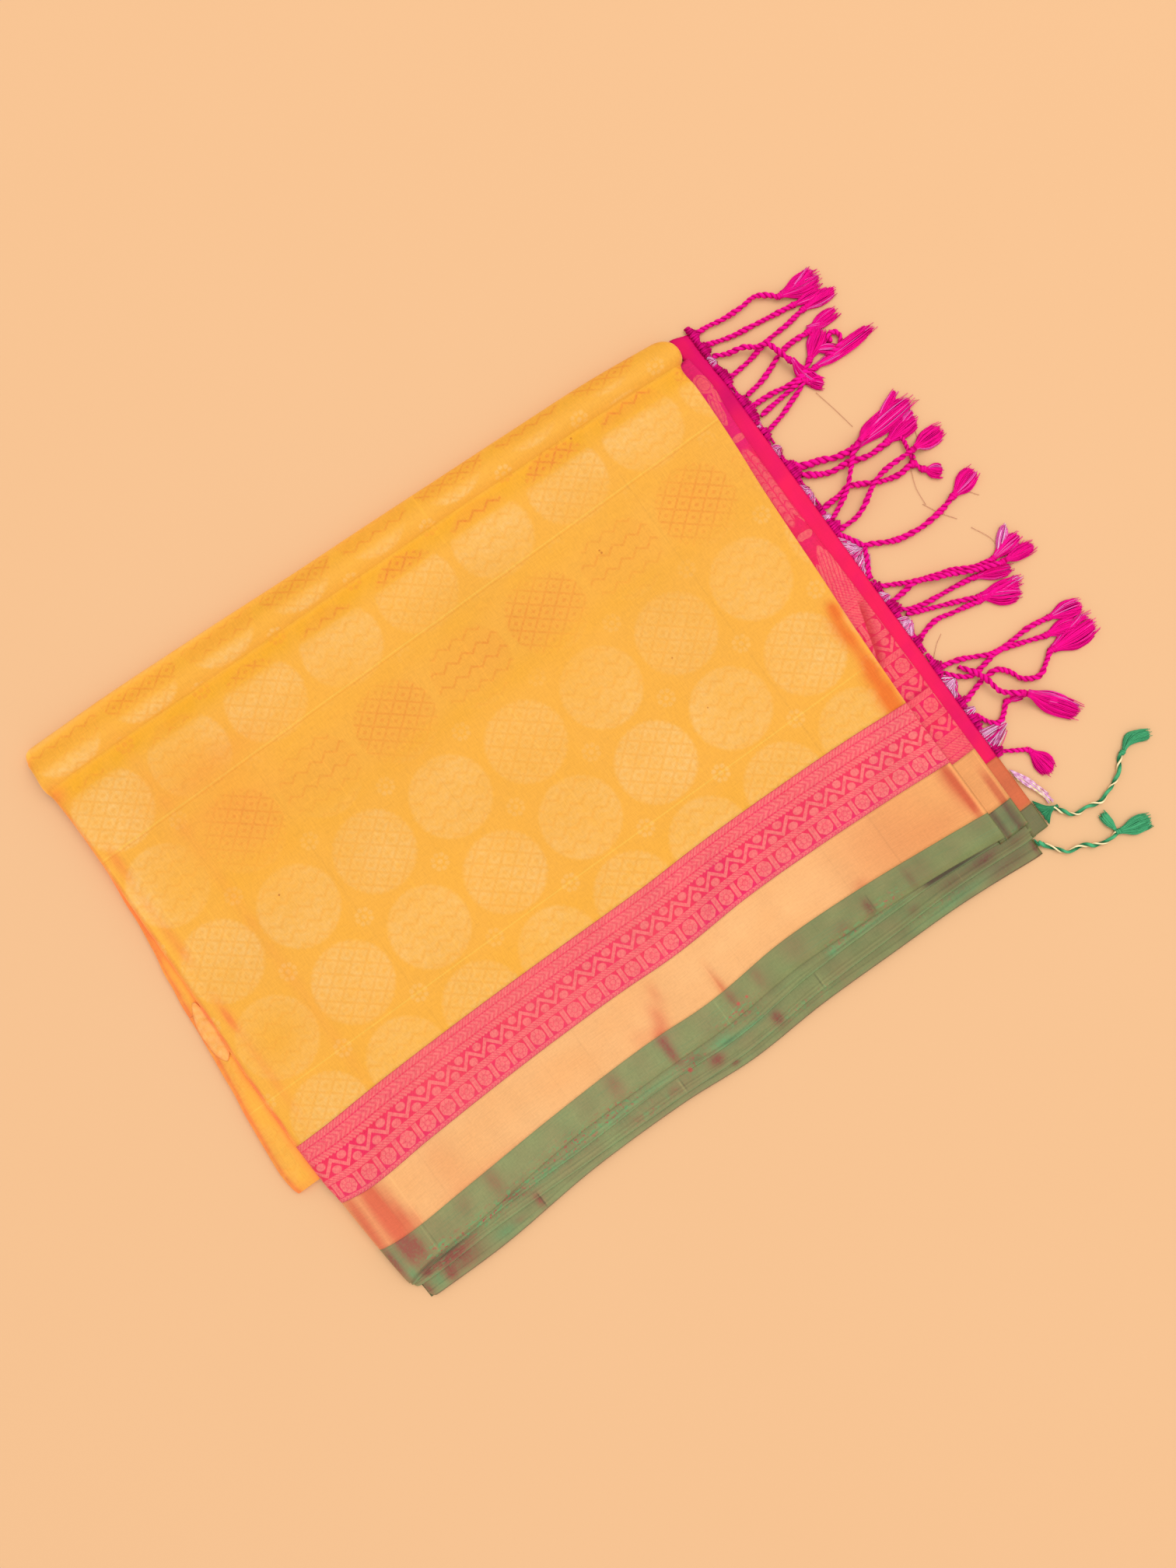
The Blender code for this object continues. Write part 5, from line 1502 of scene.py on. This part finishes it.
def make_left_fold(name, low, high, node):
    """A bundle of folded cloth: bulging layers at its outer edge, flat underneath."""
    upper = high > LEFT_FOLDS_MEET
    y = np.linspace(low, high, int((high - low) / FOLD_STEP))[:, None]
    outer = fold_outer(y, upper) + 0.25 * ripple(y, 0 * y, 40, 90)
    inner = left_end(y) + LEFT_ROUND + 0.7
    rise = np.linspace(0, 1, FOLD_LAYERS * 8 + 1)[None, :]
    phase = rise * FOLD_LAYERS
    bulge = np.abs(np.sin(phase * math.pi)) ** 0.6
    layer = np.floor(phase)
    ragged = 0.7 * np.sin(y / 31 + layer * 2.1) + 0.5 * np.sin(y / 13 + layer * 4.0)
    edge_x = outer + 2.0 * (1 - bulge) + 1.1 * (1 + ragged) * 0.5 + 1.2 * ease(0.75, 1.0, rise)
    top_share = np.array([0.12, 0.3, 0.5, 0.75, 1.0])[None, :]
    x = np.concatenate([edge_x, mix(edge_x[:, -1:], inner, top_share), inner], 1)
    z = np.concatenate([FOLD_TOP_LEVEL * FOLD_EDGE_SHARE * rise, fold_top(top_share), [[0]]], 1)
    free = high - y if upper else y - low
    grid = stacked(x, y, z * mix(0.8, 1.0, ease(0.0, 4.0, free + 1.6)))
    tall, wide = grid.shape[:2]
    inward = x - outer
    # Painted shade in the grooves; painted reflected red at the outer edge and beside the top layer,
    # lightened there
    groove = np.concatenate([1 - bulge, np.zeros((1, 6))], 1)
    beside = ease(6.0, 1.0, left_end(y) - x)
    tint = 0.25 * groove + 0.75 * ease(9.5, 2.5, inward) * (0.8 + 0.25 * ripple(x, y, 16, 93))
    tint = tint + 0.75 * beside * (0.8 + 0.3 * ripple(x, y, 26, 92)) + 0.2 * bump_at(y, low, 8)
    shade = 0.04 * ripple(x, y, 50, 91) + 0.26 * beside + 0.2 * ease(5.0, 0.0, inward) - 0.03 * groove
    shade = shade + 0.05 * bump_at(inward, 14, 6)
    tones = {"tint": np.clip(tint, 0, 0.85), "shade": shade, "figure": 0.12 + 0 * x}
    points = grid.reshape(-1, 3)
    materials = [yellow.material]
    weave = stacked(x, y)
    faces = tube_faces(tall, wide)
    made = add_mesh(name, points, faces, materials, node, tones, weave, sharp=FOLD_SHARP_ANGLE)


def make_flap():
    """The end of the upper fold, a flap that peeps out over the lower one."""
    y = np.linspace(36, -26, 34)[:, None]
    side = np.linspace(-1, 1, 13)[None, :]
    half = read(FLAP, "half", y)
    x = read(FLAP, "x", y) + half * side
    dome = np.sqrt(np.clip(1 - np.minimum(side + 0.1, 0.0) ** 2 * 1.2, 0, 1))
    edge = fold_outer(y, y > LEFT_FOLDS_MEET) + FOLD_EDGE_ROUND
    share = np.clip((x - edge) / (left_end(y) + LEFT_ROUND - edge), 0, 1)
    z = fold_top(share) + FLAP_THICKNESS + FLAP_CROWN * dome * ease(0.0, 5.0, half)
    # Painted reflected red along the rims, with painted light there against their shadow
    rims = 0.3 * ease(-0.5, -1.0, side) + 0.4 * ease(0.45, 0.9, side)
    tones = {
        "tint": 0.22 + rims + 0.12 * ripple(x, y, 12, 95),
        "shade": 0.07 + 0.25 * ease(0.75, 1.0, abs(side)) + 0.05 * ripple(x, y, 14, 96),
        "figure": 1.2,
        "deep": 0.0,
    }
    place = (x + 360 + FIRST_CIRCLE[0] + PITCH, y - 5 + FIRST_CIRCLE[1])
    grid = stacked(x, y, z)
    shell("left_flap", grid, place, yellow, None, tones, thickness=FLAP_THICKNESS)


# The fringe


def lengths(path):
    """How far along the path each of its points is."""
    return np.concatenate([[0], np.cumsum(np.linalg.norm(np.diff(path, axis=0), axis=1))])


def smooth_path(places, step):
    """Evenly spaced points on a smooth curve through the places."""
    places = np.asarray(places, float)
    ends = np.concatenate([[places[0] * 2 - places[1]], places, [places[-1] * 2 - places[-2]]])
    t = np.linspace(0, 1, CURVE_STEPS, endpoint=False)[:, None]
    found = []
    for before, start, end, after in zip(ends, ends[1:], ends[2:], ends[3:]):
        square = (before * 2 - start * 5 + end * 4 - after) * t * t
        cube = (start * 3 - end * 3 + after - before) * t**3
        found.append(0.5 * (start * 2 + (end - before) * t + square + cube))
    found = np.concatenate(found + [places[-1:]])
    reach = lengths(found)
    at = np.linspace(0, reach[-1], max(int(reach[-1] / step), 4))
    return np.stack([np.interp(at, reach, found[:, k]) for k in range(3)], 1)


def frame_along(path):
    """The directions to the right of a path and up from it."""
    heading = unit(np.gradient(path, axis=0))
    side = unit(np.cross(heading, (0.0, 0.0, 1.0)))
    return side, np.cross(side, heading)


def ring_turns(sides):
    return (np.arange(sides) * 2 + 1) * math.pi / sides


class Thread:
    """Collects tubes into one mesh, each with a tone and a material."""

    def __init__(self):
        self.points = []
        self.faces = []
        self.tones = []
        self.paints = []
        self.count = 0

    def tube(self, path, radius, sides, tone, paint=0):
        """A closed tube along a path, with a radius and a tone for each of its points."""
        path = np.asarray(path, float)
        tall = len(path)
        side, up = frame_along(path)
        turn = ring_turns(sides)[None, :, None]
        ring = side[:, None, :] * np.cos(turn) + up[:, None, :] * np.sin(turn)
        points = path[:, None, :] + ring * np.broadcast_to(radius, tall)[:, None, None]
        faces = tube_faces(tall, sides, self.count)
        self.faces += faces
        self.paints += [paint] * len(faces)
        self.points.append(points.reshape(-1, 3))
        tone = np.asarray(tone, float)
        if tone.ndim == 1:
            tone = tone[:, None]
        self.tones.append(np.broadcast_to(tone, (tall, sides)).ravel())
        self.count += tall * sides

    def make(self, name, materials, node=None):
        points = np.concatenate(self.points)
        points[:, 2] = np.maximum(points[:, 2], THREAD_ABOVE_FLOOR)
        tones = {"tone": np.concatenate(self.tones)}
        add_mesh(name, points, self.faces, materials, node, tones, paints=self.paints)


def add_twist(thread, path, rng, thick=1.0, plies=PLAIN_PLIES, pitch=TWIST_PITCH, sides=7):
    """Plies wound round each other along the path, with painted shade where they meet and painted light on
    top.
    """
    side, up = frame_along(path)
    reach = lengths(path)
    start = rng.uniform(0, 2 * math.pi)
    uneven = 0.5 * np.sin(reach / 9.0 + start) + 0.4 * np.sin(reach / 4.1 + 2 * start)
    lumps = 1 + 0.1 * np.sin(reach / 6.3 + 3 * start) + 0.06 * np.sin(reach / 2.7 + start)
    for ply, (share, paint) in enumerate(plies):
        angle = (2 * math.pi * (reach / (pitch * thick) + ply / len(plies)) + start + uneven)[:, None]
        away = up * np.sin(angle) - side * np.cos(angle)
        outward = np.cos(ring_turns(sides)[None, :] - (math.pi - angle))
        tone = 0.42 + 0.34 * outward + 0.2 * np.sin(angle) + 0.1 * np.sin(reach / 1.3 + 2 * ply)[:, None]
        centre = path + (TWIST_RADIUS * thick * lumps)[:, None] * away
        thread.tube(centre, PLY_RADIUS * thick * share * lumps, sides, np.clip(tone, 0, 1), paint)


def heading_to(start, tip):
    """The level direction from one place to another, the one to its left, and the distance."""
    run = np.array([tip[0] - start[0], tip[1] - start[1], 0.0])
    length = np.linalg.norm(run)
    heading = run / length
    return heading, np.array([-heading[1], heading[0], 0.0]), length


def add_knot(thread, centre, heading, rng, size=1.0):
    """A round knot: a tube wound a few times about the cord."""
    share = np.linspace(0, 1, 44)
    angle = share * KNOT_TURNS * 2 * math.pi + rng.uniform(0, 6)
    side = np.array([-heading[1], heading[0], 0.0])
    coil = 2.1 * size * (0.55 + 0.45 * np.sin(share * math.pi))
    path = centre + heading * ((share - 0.5) * 6.0 * size)[:, None] + side * (np.cos(angle) * coil)[:, None]
    path[:, 2] = path[:, 2] + np.sin(angle) * coil * 0.8
    # Painted light on the coil's upper turns and painted shade on its lower ones
    thread.tube(path, KNOT_RADIUS * size, 8, 0.4 + 0.35 * np.sin(angle))


def add_tuft(thread, start, tip, rng, wide=1.0, paints=(0,), lift=0.0, arch=0.0):
    """A tassel, blunt as a brush: fine strands that spread from the knot and end together."""
    heading, side, length = heading_to(start, tip)
    half = TUFT_HALF * wide
    sweep = rng.uniform(-0.07, 0.07) * length
    split = [rng.uniform(-0.5, 0.5) for _ in range(4)]
    share = np.linspace(0, 1, 12)
    swell = (0.3 + 0.7 * ease(0.0, 0.62, share)) * (1 - 0.16 * ease(0.78, 1.0, share))
    radius = STRAND_RADIUS * mix(1.0, 0.6, ease(0.8, 1.0, share))
    for k in range(int(TUFT_STRANDS * (0.35 + 0.65 * wide))):
        across = rng.uniform(-1, 1)
        height = rng.uniform(0, 1)
        lock = int((across + 1) * 1.99)
        reach = length * (1.0 - 0.13 * across * across - rng.uniform(0, 0.09))
        if k % 23 == 0:
            reach = length * rng.uniform(1.0, 1.08)
        stray = (sweep + rng.uniform(-1.1, 1.1)) * share**2
        offset = (across + 0.22 * split[lock] * share) * half * swell + stray + arch * np.sin(share * math.pi)
        belly = math.sqrt(max(1 - 0.8 * across * across, 0.0))
        level = 0.9 + height * TUFT_HEIGHT * belly * (0.55 + 0.45 * np.sin(0.4 + share * 2.3))
        level = mix(start[2] - 0.6 + height, level, ease(0.0, 0.35, share))
        path = start + heading * (reach * share)[:, None] + side * offset[:, None]
        path[:, 2] = np.maximum(level + lift * (1 - ease(0.0, 0.55, share)), STRAND_ABOVE_FLOOR)
        # Painted light on the upper strands and painted shade on the lower ones
        tone = 0.74 + 0.26 * height * belly + rng.uniform(-0.26, 0.14) + 0.08 * np.sin(share * 8 + k)
        thread.tube(path, radius, 3, np.clip(tone, 0, 1), rng.choice(paints))


def add_cord(thread, cord, rng, paints, plies=PLAIN_PLIES, pitch=TWIST_PITCH, arch=0.0):
    """A twisted cord with the knot and the tassel at its end."""
    level = CORD_LEVEL * cord.thick
    path = smooth_path([(x, y, level) for x, y in cord.path], CORD_STEP)
    path[:, 2] = level + cord.lift * ease(0.05, 0.45, np.linspace(0, 1, len(path)))
    add_twist(thread, path, rng, cord.thick, plies, pitch)
    heading, _, _ = heading_to(path[-1], cord.tip)
    knot = path[-1] + heading * 1.5
    add_knot(thread, knot, heading, rng, 0.95 * cord.thick)
    add_tuft(thread, knot + heading * 1.5, cord.tip, rng, cord.tuft, paints, cord.lift, arch)


def add_locks(thread, node, rng, paints):
    for lock in LOCKS:
        if lock.node == node:
            add_tuft(thread, (*lock.start, 2.2), lock.end, rng, lock.wide, paints)


def add_fan(thread, fan, rng):
    """Fine pale threads from the hem's edge to where a cord draws them together."""
    count = int(abs(fan.high - fan.low) * 1.5) + 8
    for k in range(count):
        y = mix(fan.high, fan.low, (k + rng.random()) / count)
        end_x = mix(fan.reach, FAN_ROOT, rng.uniform(0.0, 0.55))
        end_y = mix(fan.apex, y, rng.uniform(0.05, 0.45))
        middle_y = mix(y, end_y, 0.45) + rng.uniform(-1, 1)
        middle = (mix(HEM_END, end_x, 0.5), middle_y, 3.2 + rng.uniform(0, 1.2))
        start = (HEM_END - 0.9 + rng.uniform(0, 0.8), y, 3.0 + rng.uniform(0, 1.2))
        path = smooth_path([start, middle, (end_x, end_y, 2.0 + rng.uniform(0, 1.4))], 1.6)
        thread.tube(path, FAN_RADIUS, 4, rng.random(), LILAC if rng.random() < 0.75 else MAGENTA)


def add_wrap(thread, wrap, rng):
    """Dark loops of thread round the hem's edge, uneven and close together."""
    count = max(int(abs(wrap.high - wrap.low) / 2.1), 3)
    for k in range(count):
        share = (k + 0.5) / count
        y = mix(wrap.high, wrap.low, share)
        reach = mix(WRAP_ROOT, wrap.reach, math.sin(share * math.pi) * rng.uniform(0.65, 1.0))
        lean = rng.uniform(-1.5, 1.5)
        places = (
            (HEM_END - 1.3, y - lean, 2.6),
            (HEM_END + 0.1, y - lean * 0.6, 4.6),
            (mix(HEM_END + 0.5, reach, 0.5), y, 5.4 + rng.uniform(-0.4, 0.5)),
            (reach - 0.8, y + lean * 0.6, 4.2),
            (reach, y + lean, 2.0),
        )
        path = smooth_path(places, 1.0)
        tone = 0.22 + 0.34 * rng.random() + 0.12 * np.sin(path[:, 0])
        thread.tube(path, WRAP_RADIUS, 6, np.clip(tone, 0, 1))


def add_edge(thread, high, low, rng):
    """The twisted edge that the cords and loops are tied to."""
    count = int(abs(high - low) / 9) + 2
    for cord in EDGE_CORDS:
        places = []
        for k in range(count):
            x = cord.x + rng.uniform(-0.8, 0.8)
            places.append((x, mix(high, low, k / (count - 1)), cord.level + rng.uniform(-0.2, 0.5)))
        add_twist(thread, smooth_path(places, 1.5), rng, cord.thick, pitch=8.0, sides=6)


def add_gusset(thread, root, half, end, rng):
    """Threads that gather from the cloth's edge into the cord."""
    for share in np.linspace(1, -1, GUSSET_THREADS):
        start = (root[0] + rng.uniform(0, 1.0), root[1] + half * share, 2.2 + rng.uniform(-0.6, 1.2))
        middle_y = mix(root[1] + half * 0.6 * share, end[1], 0.5)
        middle = (mix(root[0], end[0], 0.55), middle_y, 2.6 + rng.uniform(-0.4, 0.8))
        finish = (end[0] + rng.uniform(0, 3), end[1] + rng.uniform(-1.2, 1.2), 2.4 + rng.uniform(-0.6, 0.6))
        path = smooth_path([start, middle, finish], 2.0)
        thread.tube(path, GUSSET_RADIUS, 4, 0.35 + 0.3 * rng.random())


def make_crimson_fringe(lilac):
    magenta = thread_material("magenta_thread", colour(142, 0, 58, 0.95), colour(255, 14, 154, 1.0))
    orchid = thread_material("orchid_thread", colour(190, 10, 120, 0.95), colour(238, 104, 190, 1.0))
    for order, group in enumerate(GROUPS):
        rng = random.Random(100 + order)
        thread = Thread()
        add_edge(thread, group.high, group.low, rng)
        for fan in FANS:
            if group.low - 2 < (fan.high + fan.low) / 2 < group.high + 2:
                add_fan(thread, fan, rng)
        for wrap in WRAPS:
            if group.low - 4 < (wrap.high + wrap.low) / 2 < group.high + 2:
                add_wrap(thread, wrap, rng)
        for cord in group.cords:
            add_cord(thread, cord, rng, (MAGENTA,) * 10 + (ORCHID,))
        if group.node == "fringe_top":
            add_twist(thread, smooth_path(TOP_LOOP, CORD_STEP), rng, 1.05)
        add_locks(thread, group.node, rng, group.lock_paints)
        if group.node == "fringe_upper":
            for link in UPPER_LINKS:
                add_twist(thread, smooth_path(link.path, CORD_STEP), rng, link.thick)
            add_knot(thread, np.array(UPPER_KNOT), np.array([0.8, -0.6, 0.0]), rng, 1.25)
        thread.make(group.node + "_cords", [magenta, lilac, orchid], group.node)


def add_pale_threads(thread, rng):
    """Pale threads that slant over the root of the green cord."""
    for _ in range(PALE_THREADS):
        start = (377.8 + rng.uniform(0, 1.5), -232 - rng.uniform(0, 16), 2.6)
        middle = (385 + rng.uniform(-3, 4), -256 + rng.uniform(-4, 4), 3.4)
        end = (391 + rng.uniform(-2, 4), -276 + rng.uniform(-5, 5), 2.4)
        path = smooth_path([start, middle, end], 3.0)
        thread.tube(path, PALE_RADIUS, 4, 0.6 + 0.4 * np.sin(path[:, 1]), rng.choice((1, 2, 2)))


def make_green_fringe(lilac):
    emerald = thread_material("green_thread", colour(8, 88, 54), colour(90, 196, 138))
    gilt = thread_material("gilt_thread", colour(206, 160, 96), colour(255, 240, 190, 1.0), 0.4, specular=0.4)
    for group in GREEN_GROUPS:
        rng = random.Random(group.seed)
        thread = Thread()
        materials = [emerald, gilt]
        add_gusset(thread, group.root, group.half, group.end, rng)
        for cord in group.cords:
            add_cord(thread, cord, rng, (0,), GREEN_PLIES, GREEN_PITCH, group.arch)
        if group.node == "fringe_green":
            add_pale_threads(thread, rng)
            materials.append(lilac)
        add_locks(thread, group.node, rng, (0,))
        thread.make(group.node + "_cords", materials, group.node)


def make_strays():
    hair = thread_material("stray_thread", colour(214, 150, 120), colour(238, 178, 146), 0.6)
    rng = random.Random(140)
    thread = Thread()
    for stray in STRAYS:
        places = [(x, y, 0.6 + rng.uniform(0, 0.4)) for x, y in stray]
        thread.tube(smooth_path(places, 2.0), STRAY_RADIUS, 3, 0.5 + 0.3 * rng.random())
    thread.make("stray_threads", [hair])


# The scene


def make_camera():
    view = Vector(CAMERA_VIEW).normalized()
    right = view.cross(Vector(CAMERA_UP)).normalized()
    turned = Matrix((right, right.cross(view), -view)).transposed().to_4x4()
    data = bpy.data.cameras.new("camera")
    data.sensor_width = CAMERA_SENSOR
    data.lens = CAMERA_LENS
    data.clip_start = 0.01
    made = add_object("camera", data)
    made.matrix_world = Matrix.Translation(CAMERA_PLACE) @ turned
    bpy.context.scene.camera = made


def make_light():
    world = bpy.data.worlds.new("studio")
    world.use_nodes = True
    background = world.node_tree.nodes["Background"]
    background.inputs[0].default_value = WORLD_TINT
    background.inputs[1].default_value = WORLD_STRENGTH
    bpy.context.scene.world = world
    bpy.context.scene.view_settings.view_transform = "Standard"
    data = bpy.data.lights.new("key", "AREA")
    data.shape = "DISK"
    data.size = KEY_SIZE
    data.energy = KEY_POWER
    data.color = KEY_TINT
    made = add_object("key", data)
    made.location = KEY_PLACE
    made.rotation_euler = (-Vector(KEY_PLACE)).to_track_quat("-Z", "Y").to_euler()


def make_floor():
    mesh = bpy.data.meshes.new("floor")
    corners = [(x * FLOOR_HALF, y * FLOOR_HALF, 0) for x, y in ((-1, -1), (1, -1), (1, 1), (-1, 1))]
    mesh.from_pydata(corners, [], [(0, 1, 2, 3)])
    mesh.materials.append(floor_material())
    add_object("floor", mesh)


def dress_inner():
    """The hidden layers keep their own solid, in plain cloth of the colours over them, darkened as painted
    shade.
    """
    paint = Paint("inner_plain", roughness=0.7, sheen=0.1)
    rough = paint.grain(400.0)
    base = blend(rough, colour(214, 120, 34), colour(246, 160, 60))
    _, y = paint.spot()
    for level, tone in ((-122.0, (226, 30, 84)), (-190.0, (206, 112, 66)), (-242.0, (92, 96, 58))):
        base = blend(inside(y, level, 1.0), base, colour(*tone))
    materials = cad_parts["inner_folds"].data.materials
    materials.clear()
    materials.append(paint.finish(base, rough, 0.3, depth=0.0003))


make_camera()
make_light()
make_floor()
make_top()
make_selvedge("second", 1, PALLU_START - SEAM)
make_selvedge("third", 2, THIRD_RIGHT)
make_selvedge("lowest", 3, LOWEST_RIGHT, LEFT_LEVEL_ON_FLOOR)
make_pallu()
make_hem()
make_left_fold("upper_left_folds", LEFT_FOLDS_MEET + SEAM, LEFT_FOLDS_TOP, "left_fold_upper")
make_left_fold("lower_left_folds", LEFT_FOLDS_END, LEFT_FOLDS_MEET, "left_fold_lower")
make_flap()
lilac_thread = thread_material("lilac_thread", colour(206, 84, 160), colour(250, 206, 238, 0.95), 0.5)
make_crimson_fringe(lilac_thread)
make_green_fringe(lilac_thread)
make_strays()
dress_inner()
